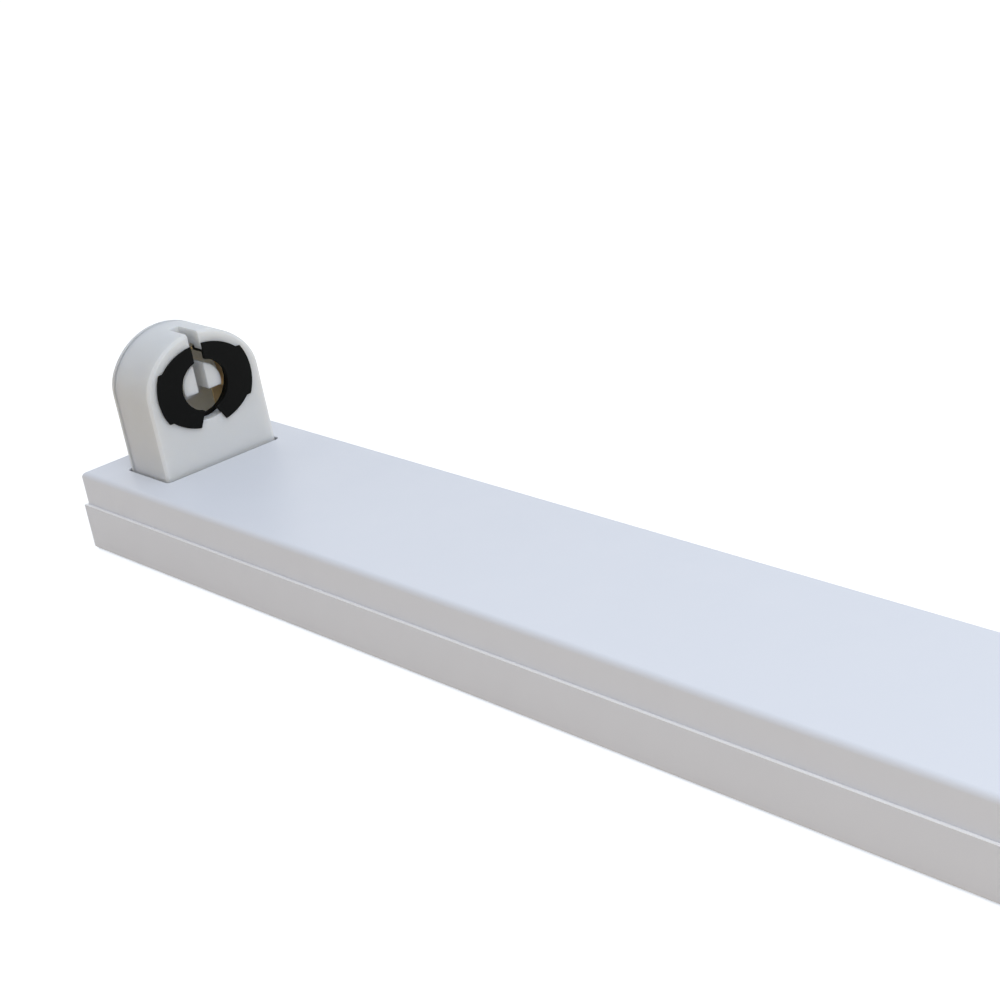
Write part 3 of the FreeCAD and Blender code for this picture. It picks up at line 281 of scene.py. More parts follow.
def grain(tree, add, place, size_mm, detail=FINE_DETAIL, stretch=None):
    """Noise whose features are about the given size. A stretch draws it out along one axis."""
    node = add("ShaderNodeTexNoise")
    node.inputs["Scale"].default_value = 1.0 / (size_mm * MM)
    node.inputs["Detail"].default_value = detail
    if stretch:
        mapping = add("ShaderNodeMapping")
        mapping.inputs["Scale"].default_value = stretch
        tree.links.new(place, mapping.inputs["Vector"])
        place = mapping.outputs["Vector"]
    tree.links.new(place, node.inputs["Vector"])
    return node.outputs["Fac"]


def finish(name, light, dark, gloss, relief_mm, grain_mm, patch_mm=40.0, stretch=None, **sockets):
    """A surface whose colour and gloss drift slowly, with a fine relief."""
    material = bpy.data.materials.new(name)
    tree, add = shader_tree(material)
    place = add("ShaderNodeTexCoord").outputs["Object"]
    shader = add("ShaderNodeBsdfPrincipled")
    for socket, value in sockets.items():
        shader.inputs[socket.replace("_", " ")].default_value = value
    colour = blend_colours(tree, add, grain(tree, add, place, patch_mm, COLOUR_DETAIL), dark, light)
    tree.links.new(colour, shader.inputs["Base Color"])
    patches = grain(tree, add, place, patch_mm / GLOSS_PATCHES, stretch=stretch)
    sheen = spread(tree, add, patches, *gloss, *GLOSS_SPREAD)
    tree.links.new(sheen, shader.inputs["Roughness"])
    relief = add("ShaderNodeBump")
    relief.inputs["Strength"].default_value = RELIEF_STRENGTH
    relief.inputs["Distance"].default_value = relief_mm * MM
    tree.links.new(grain(tree, add, place, grain_mm, stretch=stretch), relief.inputs["Height"])
    tree.links.new(relief.outputs["Normal"], shader.inputs["Normal"])
    set_output(tree, add, "ShaderNodeOutputMaterial", shader.outputs[0])
    return material


# %% [markdown]
# ### White powder coat
# The batten's steel is powder coated. Powder melts into a skin with a faint orange peel about a
# millimetre across, and its gloss is satin rather than mirror-like, so the cover shows soft light and
# no reflections. The white leans to blue. Colour, gloss and relief all stay very quiet.

# %% Powder coat
powder_coat = finish("white_powder_coat", (0.765, 0.775, 0.815), (0.745, 0.755, 0.795), (0.38, 0.46),
                     0.012, 1.1, patch_mm=60.0)

# %% [markdown]
# ### Moulded plastics
# The lampholder is moulded in a heat-proof white plastic. It is less blue than the paint beside it, a
# touch grey, and has the very fine spark texture of its mould. Light passes a few millimetres into it, so
# its edges and slots look soft, and Subsurface gives that better than a lighter colour would. The rotor
# is the same kind of plastic in black. It reflects little, so its specular level is low, and it stays
# black under a bright sky. The terminal block and the clips are the natural, slightly yellow kind.

# %% White and black mouldings
white_moulding = finish("white_moulding", (0.735, 0.735, 0.72), (0.715, 0.715, 0.70), (0.40, 0.50),
                        0.006, 0.35, patch_mm=12.0, Specular_IOR_Level=0.22, Subsurface_Weight=1.0,
                        Subsurface_Radius=(1.0, 0.95, 0.85), Subsurface_Scale=3.5 * MM)
black_moulding = finish("black_moulding", (0.0045, 0.0046, 0.0042), (0.003, 0.0031, 0.0029), (0.45, 0.6),
                        0.010, 0.3, patch_mm=6.0, Specular_IOR_Level=0.08)
natural_moulding = finish("natural_moulding", (0.78, 0.76, 0.69), (0.73, 0.71, 0.64), (0.34, 0.5),
                          0.008, 0.5, patch_mm=8.0, Specular_IOR_Level=0.4)

# %% [markdown]
# ### Metals
# The contacts are rolled brass strip, whose grain runs along the strip. The bracket, the gear case and
# the small fasteners are zinc plated, with a slightly blotched blue-grey skin. The cover's clips are
# dark spring steel. The steels are full metals, so their colour is in the reflection. The brass is only
# partly one, because it sits deep in the lampholder, where a full metal would have nothing to reflect.

# %% Brass, zinc and spring steel
rolled_brass = finish("rolled_brass", (0.86, 0.66, 0.38), (0.76, 0.56, 0.30), (0.40, 0.55), 0.004, 0.25,
                      patch_mm=3.0, stretch=(1.0, 1.0, 0.15), Metallic=0.6)
zinc_plate = finish("zinc_plate", (0.67, 0.69, 0.71), (0.57, 0.59, 0.62), (0.30, 0.44), 0.004, 0.5,
                    patch_mm=7.0, Metallic=1.0)
spring_steel = finish("spring_steel", (0.42, 0.42, 0.44), (0.30, 0.31, 0.34), (0.22, 0.34), 0.003, 0.3,
                      patch_mm=5.0, stretch=(0.2, 1.0, 1.0), Metallic=1.0)

# %% [markdown]
# ### Rubber, circuit board and wire
# The grommet is matte black rubber with a dusty bloom. The circuit board is green lacquer over glass
# cloth. The wires have a smooth, slightly waxy skin in the usual colours. They share the recipe too.

# %% Rubber, board and wire
black_rubber = finish("black_rubber", (0.030, 0.030, 0.031), (0.016, 0.016, 0.017), (0.62, 0.8), 0.02, 0.6,
                      patch_mm=5.0, Specular_IOR_Level=0.3)
green_board = finish("green_board", (0.04, 0.15, 0.07), (0.02, 0.10, 0.04), (0.28, 0.4), 0.008, 0.8,
                     patch_mm=7.0)
white_wire = finish("white_insulation", (0.76, 0.76, 0.74), (0.70, 0.70, 0.68), (0.32, 0.44), 0.01, 1.0)
brown_wire = finish("brown_insulation", (0.17, 0.075, 0.032), (0.13, 0.055, 0.025), (0.32, 0.44), 0.01, 1.0)
blue_wire = finish("blue_insulation", (0.03, 0.12, 0.42), (0.025, 0.10, 0.36), (0.32, 0.44), 0.01, 1.0)
green_wire = finish("green_insulation", (0.06, 0.26, 0.05), (0.05, 0.23, 0.04), (0.32, 0.44), 0.01, 1.0)

# %% [markdown]
# ### Marks that follow the mesh
# The earth wire is green with a yellow stripe, which has to follow the wire through its bends. The top of
# the tray's rim is painted whiter than its walls, a painted highlight that makes the seam read as a light
# line. A pattern in space would slide off the one and miss the other, so both finishes read a value from
# the mesh, and the cells that shape those pieces write it. A mesh without the value reads as nought and
# keeps its plain colour.

# %% Second colours, and a finish for every slot
STRIPE_YELLOW = (0.78, 0.60, 0.04)
# The rim's whiter colour is a painted highlight on the top of the tray's rim, not a colour of the coat.
RIM_HIGHLIGHT_WHITE = (0.96, 0.94, 0.92)
MARK_FADE = (0.50, 0.62)


def add_mark(material, mark, colour):
    """Lay a second colour where the mesh's value of that name is above about a half."""
    tree = material.node_tree
    add = adder(tree)
    shader = next(node for node in tree.nodes if node.type == "BSDF_PRINCIPLED")
    base = shader.inputs["Base Color"].links[0].from_socket
    value = add("ShaderNodeAttribute", attribute_name=mark).outputs["Fac"]
    marked = blend_colours(tree, add, spread(tree, add, value, 0.0, 1.0, *MARK_FADE), base, colour)
    tree.links.new(marked, shader.inputs["Base Color"])


add_mark(green_wire, "stripe", STRIPE_YELLOW)
# The rim's mark lays a painted highlight on the top of the tray's rim.
add_mark(powder_coat, "rim", RIM_HIGHLIGHT_WHITE)

FINISHES = {"painted_steel": powder_coat, "holder_plastic": white_moulding, "rotor_plastic": black_moulding,
            "contact_brass": rolled_brass, "zinc_steel": zinc_plate, "spring_steel": spring_steel,
            "rubber_black": black_rubber, "board_green": green_board, "terminal_plastic": natural_moulding,
            "wire_white": white_wire, "wire_brown": brown_wire, "wire_blue": blue_wire,
            "wire_green": green_wire}
for node, slot in node_slot.items():
    nodes[node].data.materials.clear()
    nodes[node].data.materials.append(FINISHES[slot])
print("finishes:", len(FINISHES))

# %% [markdown]
# ## Softened edges
# No real edge is perfectly sharp: a moulding has a small radius and cut sheet has a rolled-over rim, and
# both catch a thin line of light. The frame's nodes have sharp edges, so every piece of sheet and
# moulding is shaped once more from a merged copy of its node. Flat triangles are joined, a Bevel
# modifier rounds the edges, Weighted Normal keeps the large flats flat, and the copy replaces its node.
# A bevel in the shader would be quicker, but it leaves the outline sharp and is lost in an export.

# %% Copy a node, bake a piece and let it stand for its node
WELD_DISTANCE = 0.002 * MM
body_of = {node: body for body, members in frame["record"]["behaviour"]["bodies"].items() for node in members}


def merged_shell(node):
    """The node's loose triangles, joined at their corners."""
    shell = bmesh.new()
    shell.from_mesh(nodes[node].data)
    bmesh.ops.remove_doubles(shell, verts=shell.verts, dist=WELD_DISTANCE)
    return shell


def piece_from(shell, node, name):
    """A piece with the shell as its mesh, shaded smooth."""
    piece = bpy.data.objects.new(name, nodes[node].data.copy())
    bpy.context.scene.collection.objects.link(piece)
    shell.to_mesh(piece.data)
    shell.free()
    for polygon in piece.data.polygons:
        polygon.use_smooth = True
    return piece


def bake(piece):
    """Turn the piece and its modifiers into a plain mesh."""
    bpy.context.view_layer.update()
    finished = bpy.data.meshes.new_from_object(piece.evaluated_get(bpy.context.evaluated_depsgraph_get()))
    piece.modifiers.clear()
    piece.data = finished


def give_finish(piece, node):
    piece.data.materials.clear()
    piece.data.materials.append(FINISHES[node_slot[node]])


def stand_for(piece, node):
    """Put the finished piece in the place of its node, on the same body."""
    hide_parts(node)
    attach(piece, body_of[node])
    print(piece.name, len(piece.data.polygons), "faces")


# %% Shape a node again with soft edges
FLAT_WITHIN = math.radians(0.6)


def shaped(node, width_mm, segments, angle, edit=None):
    """A copy of the node with its edges rounded, and first changed by the edit where one is given."""
    shell = merged_shell(node)
    bmesh.ops.dissolve_limit(shell, angle_limit=FLAT_WITHIN, verts=shell.verts, edges=shell.edges)
    if edit:
        edit(shell)
    piece = piece_from(shell, node, node + "_shaped")
    bevel = piece.modifiers.new("soft_edges", "BEVEL")
    bevel.width = width_mm * MM
    bevel.segments = segments
    bevel.limit_method = "ANGLE"
    bevel.angle_limit = math.radians(angle)
    weights = piece.modifiers.new("flat_faces", "WEIGHTED_NORMAL")
    weights.keep_sharp = True
    bake(piece)
    give_finish(piece, node)
    stand_for(piece, node)
    return piece


# %% [markdown]
# ### The tray's rim
# Powder gathers on a cut edge as it melts, so the rim is a hair thicker than its sheet. It nearly closes
# the gap to the cover. Its top also gets a painted highlight, a whiter colour than the walls, and together
# they make the seam along the batten show as a light line and not as a dark one. The inner corners of the
# rim are moved before the bevel, so that the bevel rounds the thick rim.

# %% The tray's rim, thickened by its coat
RIM_SHEET = 0.6
RIM_COAT = 0.19
FACES_UP = 0.3


def thick_rim(shell):
    """Draw the inner edge of the tray's rim towards the cover."""
    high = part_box("base_tray")[1]
    for vert in shell.verts:
        if high.z - vert.co.z > RIM_COAT * MM:
            continue
        for axis in (0, 1):
            side = math.copysign(1.0, vert.co[axis])
            if abs(high[axis] - RIM_SHEET * MM - abs(vert.co[axis])) < RIM_COAT * MM:
                vert.co[axis] -= side * RIM_COAT * MM


def mark_rim_highlight(mesh):
    """Write a value of 1 on the faces at the top of the rim, where the painted highlight goes."""
    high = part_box("base_tray")[1]
    mark = mesh.attributes.new("rim", "FLOAT", "FACE")
    for face in mesh.polygons:
        at_top = high.z - face.center.z < RIM_COAT * MM
        mark.data[face.index].value = float(face.normal.z > FACES_UP and at_top)


# %% Shape the lampholders, the sheet steel and the gear
SOFT_STEPS = 2
SMOOTH_STEPS = 3
FINE_ANGLE = 25.0
PLAIN_ANGLE = 40.0
COVER_EDGE = 0.1
TRAY_EDGE = 0.12
HOLDER_EDGES = {"holder_housing_": (0.35, SMOOTH_STEPS, FINE_ANGLE),
                "holder_rear_cover_": (0.3, SOFT_STEPS, FINE_ANGLE),
                "holder_rotor_": (0.18, SOFT_STEPS, FINE_ANGLE),
                "holder_bracket_": (0.15, SOFT_STEPS, PLAIN_ANGLE),
                "holder_contact_a_": (0.08, SOFT_STEPS, PLAIN_ANGLE),
                "holder_contact_b_": (0.08, SOFT_STEPS, PLAIN_ANGLE)}
GEAR_EDGES = {"ballast_case": 0.1, "ballast_lid": 0.1, "ballast_board": 0.15,
              "ballast_mains_connector": 0.3, "ballast_lamp_connector": 0.3, "terminal_body": 0.3,
              "terminal_inserts": 0.12, "cover_clips": 0.08, "lead_clips": 0.35, "earth_lug": 0.12,
              "earth_nut": 0.3}

for end in ("left", "right"):
    for name, edge in HOLDER_EDGES.items():
        shaped(name + end, *edge)
shaped("cover", COVER_EDGE, SOFT_STEPS, PLAIN_ANGLE)
tray = shaped("base_tray", TRAY_EDGE, SOFT_STEPS, PLAIN_ANGLE, thick_rim)
# The top faces of the rim are marked for their painted highlight.
mark_rim_highlight(tray.data)
for node, width_mm in GEAR_EDGES.items():
    shaped(node, width_mm, SOFT_STEPS, PLAIN_ANGLE)

# %% [markdown]
# ## Turned parts
# Rivets, screws and the cable grommet are all turned parts: one outline spun round an axis. In the frame
# they have a few flat sides, which is enough to place them by. One node can hold several of them, so the
# first step is to tell its solids apart. Loose parts could be split into objects, but counting is enough:
# from any corner, every other corner that can be reached along edges belongs to the same solid.


# %% Find the separate solids of a node
def solids_of(node):
    """The lowest and highest corner of each separate solid in a node."""
    shell = merged_shell(node)
    waiting = set(shell.verts)
    boxes = []
    while waiting:
        group = [waiting.pop()]
        members = []
        while group:
            vert = group.pop()
            members.append(vert.co)
            for edge in vert.link_edges:
                other = edge.other_vert(vert)
                if other in waiting:
                    waiting.discard(other)
                    group.append(other)
        boxes.append((Vector([min(place[axis] for place in members) for axis in range(3)]),
                      Vector([max(place[axis] for place in members) for axis in range(3)])))
    shell.free()
    return sorted(boxes, key=lambda box: (round(box[0].x, 4), round(box[0].y, 4)))


for node in ("bracket_rivets", "ballast_screws", "terminal_screws", "cable_grommet", "earth_stud"):
    boxes = solids_of(node)
    low, high = boxes[0]
    print(node, len(boxes), "solids, the first", [round(v / MM, 2) for v in high - low])


# %% [markdown]
# ### Geometry Nodes, built in the script
# Each tree below is written out in full, with a named input for every size, so that it can be tried on
# another screw by changing one number. A script-built tree is longer than one drawn by hand, but it
# shows each step in order. All trees end alike: the copies become real, edges sharper than the sharp
# angle stay crisp, and the finish is set. The result is baked, because an export drops live copies.

# %% Tools for a geometry tree
SHARP_ANGLE = math.radians(28)


def geometry_tree(name, sockets):
    """A geometry node tree with named inputs, and short ways to add and join nodes."""
    tree = bpy.data.node_groups.new(name, "GeometryNodeTree")
    tree.interface.new_socket("Geometry", in_out="INPUT", socket_type="NodeSocketGeometry")
    for socket, kind in sockets.items():
        tree.interface.new_socket(socket, in_out="INPUT", socket_type=kind)
    tree.interface.new_socket("Geometry", in_out="OUTPUT", socket_type="NodeSocketGeometry")

    def add(kind, links=None, values=None, **settings):
        node = tree.nodes.new(kind)
        for setting, value in settings.items():
            setattr(node, setting, value)
        for socket, value in (values or {}).items():
            node.inputs[socket].default_value = value
        for socket, source in (links or {}).items():
            tree.links.new(source, node.inputs[socket])
        return node
    start = add("NodeGroupInput")
    return tree, add, start.outputs


def end_tree(add, geometry, material_socket):
    """Realize the copies, shade them and give them their finish."""
    real = add("GeometryNodeRealizeInstances", {"Geometry": geometry})
    smooth = add("GeometryNodeSetShadeSmooth", {"Geometry": real.outputs[0]})
    angle = add("GeometryNodeInputMeshEdgeAngle")
    sharp = add("FunctionNodeCompare", {0: angle.outputs["Unsigned Angle"]}, {1: SHARP_ANGLE},
                data_type="FLOAT", operation="GREATER_THAN")
    edges = add("GeometryNodeSetShadeSmooth", {"Geometry": smooth.outputs[0], "Selection": sharp.outputs[0]},
                {"Shade Smooth": False}, domain="EDGE")
    finish_node = add("GeometryNodeSetMaterial", {"Geometry": edges.outputs[0], "Material": material_socket})
    add("NodeGroupOutput", {0: finish_node.outputs[0]})


def run_tree(name, tree, points, values, node):
    """Evaluate a tree on a mesh of points, and hand the plain result to its node's body."""
    seeds = bpy.data.meshes.new(name)
    seeds.from_pydata(points, [], [])
    piece = bpy.data.objects.new(name, seeds)
    bpy.context.scene.collection.objects.link(piece)
    modifier = piece.modifiers.new("make", "NODES")
    modifier.node_group = tree
    for item in tree.interface.items_tree:
        if item.item_type == "SOCKET" and item.in_out == "INPUT" and item.name in values:
            modifier[item.identifier] = values[item.name]
    piece.update_tag()
    bake(piece)
    stand_for(piece, node)


# %% [markdown]
# ### One tree for every outline
# A tube of many sides is taken ring by ring, and two curves say which radius and which height each ring
# gets, so one tree makes a domed rivet, a screw head or a rubber lip. A Screw modifier would also spin an
# outline, but it would need an object for every screw. The tree sets a copy on every point that it is
# given, each turned by its own seeded angle, because no fitter lines up the slots of screws.

# %% A tree that spins an outline
SPIN_SIDES = 40
BLADE_LENGTHS = 3.0


def set_curve(node, values):
    """A float curve through evenly spaced values, with straight runs between them."""
    curve = node.mapping.curves[0]
    while len(curve.points) > 2:
        curve.points.remove(curve.points[1])
    last = len(values) - 1
    curve.points[0].location = (0.0, values[0])
    curve.points[-1].location = (1.0, values[-1])
    for index in range(1, last):
        curve.points.new(index / last, values[index])
    for point in curve.points:
        point.handle_type = "VECTOR"
    node.mapping.update()


def turned_tree(name, profile, slotted):
    """Rings with the profile's shares of radius and height, one copy on each point."""
    sockets = {"Radius": "NodeSocketFloat", "Height": "NodeSocketFloat", "Slot Width": "NodeSocketFloat",
               "Slot Depth": "NodeSocketFloat", "Seed": "NodeSocketInt", "Finish": "NodeSocketMaterial"}
    tree, add, given = geometry_tree(name, sockets)
    tube = add("GeometryNodeMeshCylinder", None, {"Vertices": SPIN_SIDES, "Side Segments": len(profile) - 1,
                                                  "Radius": 1.0, "Depth": 1.0}, fill_type="NONE")
    split = add("ShaderNodeSeparateXYZ", {0: add("GeometryNodeInputPosition").outputs[0]})
    rise = add("ShaderNodeMath", {0: split.outputs["Z"]}, {1: 0.5}, operation="ADD")
    radius_curve = add("ShaderNodeFloatCurve", {"Value": rise.outputs[0]})
    height_curve = add("ShaderNodeFloatCurve", {"Value": rise.outputs[0]})
    set_curve(radius_curve, [point[0] for point in profile])
    set_curve(height_curve, [point[1] for point in profile])
    radius = add("ShaderNodeMath", {0: radius_curve.outputs[0], 1: given["Radius"]}, operation="MULTIPLY")
    height = add("ShaderNodeMath", {0: height_curve.outputs[0], 1: given["Height"]}, operation="MULTIPLY")
    across = add("ShaderNodeMath", {0: split.outputs["X"], 1: radius.outputs[0]}, operation="MULTIPLY")
    along = add("ShaderNodeMath", {0: split.outputs["Y"], 1: radius.outputs[0]}, operation="MULTIPLY")
    place = add("ShaderNodeCombineXYZ", {0: across.outputs[0], 1: along.outputs[0], 2: height.outputs[0]})
    spun = add("GeometryNodeSetPosition", {"Geometry": tube.outputs["Mesh"], "Position": place.outputs[0]})
    closed = add("GeometryNodeMergeByDistance", {"Geometry": spun.outputs[0]}, {"Distance": WELD_DISTANCE})
    shape = closed.outputs[0]
    if slotted:
        long_way = add("ShaderNodeMath", {0: given["Radius"]}, {1: BLADE_LENGTHS}, operation="MULTIPLY")
        deep = add("ShaderNodeMath", {0: given["Slot Depth"]}, {1: 2.0}, operation="MULTIPLY")
        size = add("ShaderNodeCombineXYZ",
                   {0: long_way.outputs[0], 1: given["Slot Width"], 2: deep.outputs[0]})
        blade = add("GeometryNodeMeshCube", {"Size": size.outputs[0]})
        top = add("ShaderNodeCombineXYZ", {2: given["Height"]})
        raised = add("GeometryNodeTransform", {"Geometry": blade.outputs[0], "Translation": top.outputs[0]})
        cut = add("GeometryNodeMeshBoolean", {"Mesh 1": shape, "Mesh 2": raised.outputs[0]},
                  operation="DIFFERENCE", solver="EXACT")
        shape = cut.outputs[0]
    turn = add("FunctionNodeRandomValue", {"Seed": given["Seed"]}, data_type="FLOAT")
    turn.inputs[3].default_value = math.tau
    about = add("ShaderNodeCombineXYZ", {2: turn.outputs[1]})
    rotation = add("FunctionNodeEulerToRotation", {0: about.outputs[0]})
    copies = add("GeometryNodeInstanceOnPoints", {"Points": given["Geometry"], "Instance": shape,
                                                  "Rotation": rotation.outputs[0]})
    end_tree(add, copies.outputs[0], given["Finish"])
    return tree


def turned(node, profile, slot_width=0.0, slot_depth=0.0, seed=1):
    """Spin a profile, given in shares of the radius and the height, at every solid of the node."""
    boxes = solids_of(node)
    size = boxes[0][1] - boxes[0][0]
    points = [((low.x + high.x) / 2, (low.y + high.y) / 2, low.z) for low, high in boxes]
    radius = min(size.x, size.y) / 2
    tree = turned_tree(node + "_tree", profile, slot_width > 0)
    run_tree(node + "_turned", tree, points,
             {"Radius": radius, "Height": size.z, "Slot Width": slot_width * MM,
              "Slot Depth": slot_depth * MM, "Seed": seed, "Finish": FINISHES[node_slot[node]]}, node)


# %% [markdown]
# ### Rivets
# The brackets are held by closed rivets. Each has a shallow dome above the foot and a tail pressed flat
# behind the tray, with a small dimple where the tool stood. A dome could be half a sphere, but a closed
# rivet is flatter, and an outline says how flat. Radii are shares of the dome's, and the shank has 0.655.

# %% Bracket rivets
RIVET_SHARES = [(0, 0.06), (0.3, 0.05), (0.46, 0.0), (0.6, 0.0), (0.655, 0.04), (0.655, 0.64), (1.0, 0.64),
                (1.0, 0.70), (0.93, 0.80), (0.76, 0.90), (0.5, 0.97), (0.24, 1.0), (0, 1.0)]
turned("bracket_rivets", RIVET_SHARES, seed=3)

# %% [markdown]
# ### Screws
# The ballast is held by two pan-head screws and the leads by six grub screws, all with a plain slot. A
# pan head has a short upright rim and a rounded shoulder. A grub screw has a turned chamfer. The slot
# can't be spun, so a blade is cut out of each head with a Boolean after the spinning.

# %% Ballast and terminal screws
PAN_SCREW_SHARES = [(0, 0), (0.44, 0), (0.525, 0.05), (0.525, 0.345), (1.0, 0.345), (1.0, 0.62), (0.97, 0.74),
                    (0.9, 0.84), (0.78, 0.93), (0.6, 0.98), (0.4, 1.0), (0, 1.0)]
GRUB_SCREW_SHARES = [(0, 0), (0.8, 0), (1.0, 0.06), (1.0, 0.93), (0.86, 1.0), (0, 1.0)]
turned("ballast_screws", PAN_SCREW_SHARES, slot_width=1.1, slot_depth=0.95, seed=5)
turned("terminal_screws", GRUB_SCREW_SHARES, slot_width=0.55, slot_depth=0.8, seed=8)

# %% [markdown]
# ### Cable grommet
# The grommet is one ring of soft rubber with a groove that snaps over the edge of the cable entry. Its
# lips are rounded, and the bore is waisted so that it grips a cable. The same tree makes it. The outline
# runs round the whole section and comes back to its start, so that the ring closes on itself, and since
# both lips are alike, the upper half of the outline is the lower half turned over.

# %% Grommet
LOWER_LIP_SHARES = [(0.405, 0.5), (0.42, 0.2), (0.46, 0.04), (0.52, 0.0), (0.9, 0.0), (0.97, 0.05),
                    (1.0, 0.16), (0.985, 0.30), (0.93, 0.405), (0.79, 0.415)]
UPPER_LIP_SHARES = [(radius, 1.0 - height) for radius, height in reversed(LOWER_LIP_SHARES)]
turned("cable_grommet", LOWER_LIP_SHARES + UPPER_LIP_SHARES)

# %% [markdown]
# ### Earth stud
# The stud is a welded foot, a core and a rolled thread. The thread climbs as it goes round, so it can't
# be spun like the rest. A spiral curve is swept with a small six-sided profile and sunk halfway into the
# core. The turns of the thread follow from the stud's height and the pitch, and the thread starts above
# the foot and the lug.

# %% Earth stud with its thread
STUD_RADIUS = 2.0
STUD_FOOT = 0.8
THREAD_PITCH = 0.7
THREAD_RIDGE = 0.16
THREAD_START_TURNS = 2.6
THREAD_PLAIN_TURNS = 3.2
SPIRAL_STEPS = 24
RIDGE_SIDES = 6


def stud_tree():
    sockets = {"Core": "NodeSocketFloat", "Foot": "NodeSocketFloat", "Height": "NodeSocketFloat",
               "Pitch": "NodeSocketFloat", "Ridge": "NodeSocketFloat", "Finish": "NodeSocketMaterial"}
    tree, add, given = geometry_tree("stud_tree", sockets)
    foot = add("GeometryNodeMeshCylinder", {"Radius": given["Foot"]},
               {"Vertices": SPIN_SIDES, "Depth": STUD_FOOT * MM}, fill_type="NGON")
    foot_up = add("GeometryNodeTransform", {"Geometry": foot.outputs["Mesh"]},
                  {"Translation": (0, 0, STUD_FOOT * MM / 2)})
    core = add("GeometryNodeMeshCone", {"Radius Bottom": given["Core"], "Radius Top": given["Core"],
                                        "Depth": given["Height"]}, {"Vertices": SPIN_SIDES},
               fill_type="NGON")
    turns = add("ShaderNodeMath", {0: given["Height"], 1: given["Pitch"]}, operation="DIVIDE")
    wound = add("ShaderNodeMath", {0: turns.outputs[0]}, {1: THREAD_PLAIN_TURNS}, operation="SUBTRACT")
    run = add("ShaderNodeMath", {0: wound.outputs[0], 1: given["Pitch"]}, operation="MULTIPLY")
    spiral = add("GeometryNodeCurveSpiral", {"Rotations": wound.outputs[0], "Start Radius": given["Core"],
                                             "End Radius": given["Core"], "Height": run.outputs[0]},
                 {"Resolution": SPIRAL_STEPS})
    ridge = add("GeometryNodeCurvePrimitiveCircle", {"Radius": given["Ridge"]},
                {"Resolution": RIDGE_SIDES}, mode="RADIUS")
    thread = add("GeometryNodeCurveToMesh", {"Curve": spiral.outputs[0], "Profile Curve": ridge.outputs[0]},
                 {"Fill Caps": True})
    start = add("ShaderNodeMath", {0: given["Pitch"]}, {1: THREAD_START_TURNS}, operation="MULTIPLY")
    lift = add("ShaderNodeCombineXYZ", {2: start.outputs[0]})
    thread_up = add("GeometryNodeTransform", {"Geometry": thread.outputs[0], "Translation": lift.outputs[0]})
    both = add("GeometryNodeJoinGeometry")
    for part in (foot_up, core, thread_up):
        tree.links.new(part.outputs[0], both.inputs[0])
    copies = add("GeometryNodeInstanceOnPoints", {"Points": given["Geometry"], "Instance": both.outputs[0]})
    end_tree(add, copies.outputs[0], given["Finish"])
    return tree


stud_low, stud_high = solids_of("earth_stud")[0]
stud_middle = (stud_low + stud_high) / 2
run_tree("earth_stud_turned", stud_tree(), [(stud_middle.x, stud_middle.y, stud_low.z)],
         {"Core": (STUD_RADIUS - THREAD_RIDGE) * MM, "Foot": (stud_high.x - stud_low.x) / 2,
          "Height": stud_high.z - stud_low.z, "Pitch": THREAD_PITCH * MM, "Ridge": THREAD_RIDGE * MM,
          "Finish": zinc_plate}, "earth_stud")

# %% [markdown]
# ### Toothed washer
# The washer lies between the lug and the nut and bites into both with a ring of twisted teeth, so that
# the contact stays good and the nut stays tight. One tooth is made from a cube, twisted, and set on the
# points of a circle, which is quicker to change than ten modelled teeth. The flat band inside them is a
# circle swept with a rectangle.

# %% Toothed washer
WASHER_RADIUS = 4.1
WASHER_PLAY = 0.1
WASHER_TEETH = 10
TOOTH_TWIST = math.radians(16)
BAND_PLACE_SHARE = 0.44
BAND_SHEET_SHARE = 0.6
TOOTH_SHARES = (0.95, 0.42, 1.0)


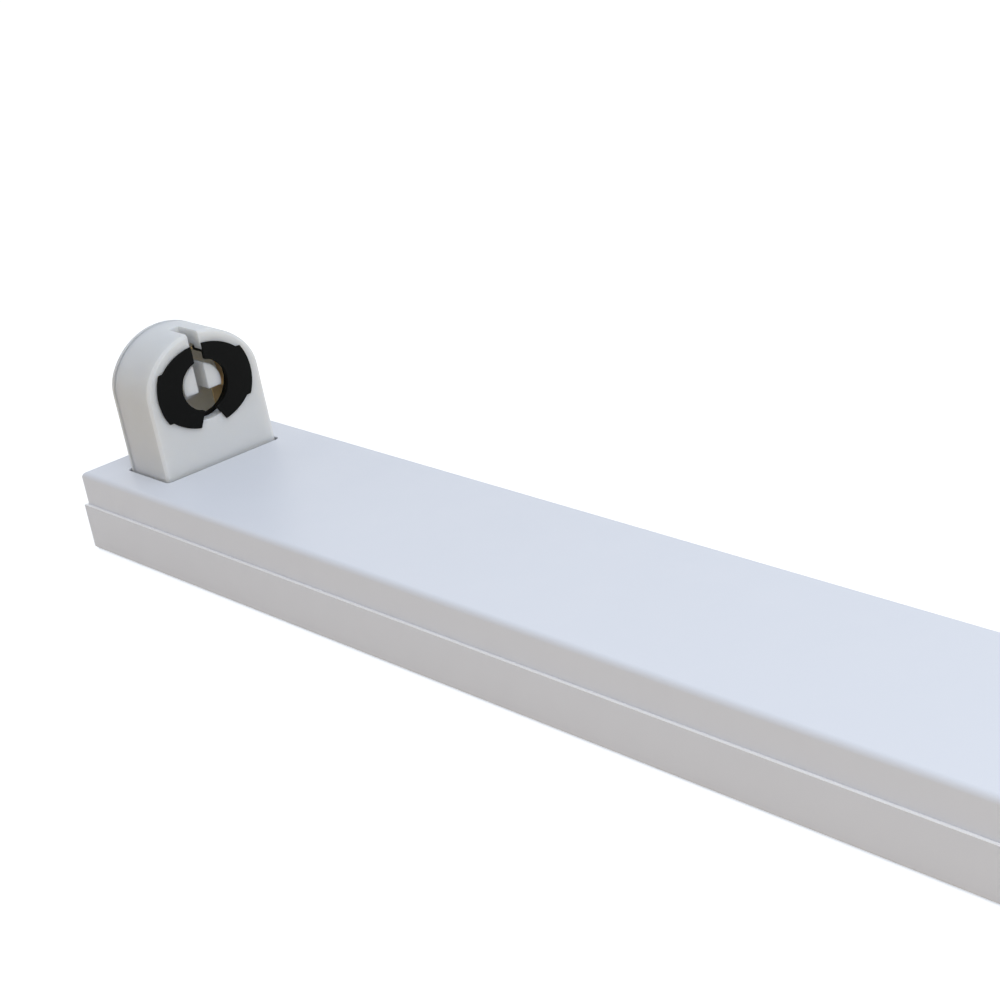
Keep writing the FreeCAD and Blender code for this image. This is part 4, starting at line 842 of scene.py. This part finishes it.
def washer_tree():
    sockets = {"Radius": "NodeSocketFloat", "Bore": "NodeSocketFloat", "Sheet": "NodeSocketFloat",
               "Teeth": "NodeSocketInt", "Twist": "NodeSocketFloat", "Finish": "NodeSocketMaterial"}
    tree, add, given = geometry_tree("washer_tree", sockets)
    spine = add("ShaderNodeMath", {0: given["Radius"], 1: given["Bore"]}, operation="ADD")
    middle = add("ShaderNodeMath", {0: spine.outputs[0]}, {1: BAND_PLACE_SHARE}, operation="MULTIPLY")
    path = add("GeometryNodeCurvePrimitiveCircle", {"Radius": middle.outputs[0]}, {"Resolution": SPIN_SIDES},
               mode="RADIUS")
    reach = add("ShaderNodeMath", {0: middle.outputs[0], 1: given["Bore"]}, operation="SUBTRACT")
    width = add("ShaderNodeMath", {0: reach.outputs[0]}, {1: 2.0}, operation="MULTIPLY")
    thin = add("ShaderNodeMath", {0: given["Sheet"]}, {1: BAND_SHEET_SHARE}, operation="MULTIPLY")
    band = add("GeometryNodeCurvePrimitiveQuadrilateral",
               {"Width": width.outputs[0], "Height": thin.outputs[0]})
    ring = add("GeometryNodeCurveToMesh", {"Curve": path.outputs[0], "Profile Curve": band.outputs[0]})
    outward = add("ShaderNodeMath", {0: given["Radius"], 1: reach.outputs[0]}, operation="SUBTRACT")
    tooth_path = add("GeometryNodeCurvePrimitiveCircle", {"Radius": outward.outputs[0],
                                                          "Resolution": given["Teeth"]}, mode="RADIUS")
    tooth_size = add("ShaderNodeCombineXYZ", {0: width.outputs[0], 1: given["Bore"], 2: thin.outputs[0]})
    tooth = add("GeometryNodeMeshCube", {"Size": tooth_size.outputs[0]})
    narrow = add("GeometryNodeTransform", {"Geometry": tooth.outputs[0]}, {"Scale": TOOTH_SHARES})
    twist = add("ShaderNodeCombineXYZ", {0: given["Twist"]})
    twisted = add("GeometryNodeTransform", {"Geometry": narrow.outputs[0], "Rotation": twist.outputs[0]})
    around = add("ShaderNodeMath", {0: add("GeometryNodeInputIndex").outputs[0], 1: given["Teeth"]},
                 operation="DIVIDE")
    angle = add("ShaderNodeMath", {0: around.outputs[0]}, {1: math.tau}, operation="MULTIPLY")
    facing = add("ShaderNodeCombineXYZ", {2: angle.outputs[0]})
    turn = add("FunctionNodeEulerToRotation", {0: facing.outputs[0]})
    spots = add("GeometryNodeCurveToPoints", {"Curve": tooth_path.outputs[0]}, mode="EVALUATED")
    teeth = add("GeometryNodeInstanceOnPoints", {"Points": spots.outputs[0], "Instance": twisted.outputs[0],
                                                 "Rotation": turn.outputs[0]})
    both = add("GeometryNodeJoinGeometry")
    tree.links.new(ring.outputs[0], both.inputs[0])
    tree.links.new(teeth.outputs[0], both.inputs[0])
    real = add("GeometryNodeRealizeInstances", {"Geometry": both.outputs[0]})
    copies = add("GeometryNodeInstanceOnPoints", {"Points": given["Geometry"], "Instance": real.outputs[0]})
    end_tree(add, copies.outputs[0], given["Finish"])
    return tree


washer_low, washer_high = solids_of("earth_washer")[0]
washer_middle = (washer_low + washer_high) / 2
run_tree("earth_washer_toothed", washer_tree(), [tuple(washer_middle)],
         {"Radius": WASHER_RADIUS * MM, "Bore": (STUD_RADIUS + WASHER_PLAY) * MM,
          "Sheet": washer_high.z - washer_low.z,
          "Teeth": WASHER_TEETH, "Twist": TOOTH_TWIST, "Finish": zinc_plate}, "earth_washer")

# %% [markdown]
# ## Round wires
# The frame's leads have six flat sides. A round wire needs many, but its path is already right, so the
# copy keeps the path: its triangles are joined to four-sided faces, each corner moves out a little, and a
# Subdivision Surface rounds it. The corners move out first because subdivision pulls them in. The earth
# lead is green with a yellow stripe, as everywhere. The stripe has to follow the wire through its
# bends, so it is written as a value on the mesh, read from which way each corner faces.

# %% Wires and the stripe
WIRE_SWELL = 0.14
FACES_JOIN_WITHIN = math.radians(30)
SHAPES_JOIN_WITHIN = math.radians(120)


def round_wire(node):
    """A copy of the lead with a round section, and with the stripe's value on each corner."""
    shell = merged_shell(node)
    bmesh.ops.join_triangles(shell, faces=shell.faces, angle_face_threshold=FACES_JOIN_WITHIN,
                             angle_shape_threshold=SHAPES_JOIN_WITHIN)
    shell.normal_update()
    for vert, normal in [(vert, vert.normal.copy()) for vert in shell.verts]:
        vert.co += normal * WIRE_SWELL * MM
    piece = piece_from(shell, node, node + "_round")
    rounded = piece.modifiers.new("round", "SUBSURF")
    rounded.levels = rounded.render_levels = 1
    bake(piece)
    stripe = piece.data.attributes.new("stripe", "FLOAT", "POINT")
    for vert in piece.data.vertices:
        stripe.data[vert.index].value = max(0.0, vert.normal.z)
    give_finish(piece, node)
    stand_for(piece, node)


for node in ("lead_live", "lead_neutral", "lead_earth", "lead_left_a", "lead_left_b", "lead_right_a",
             "lead_right_b"):
    round_wire(node)
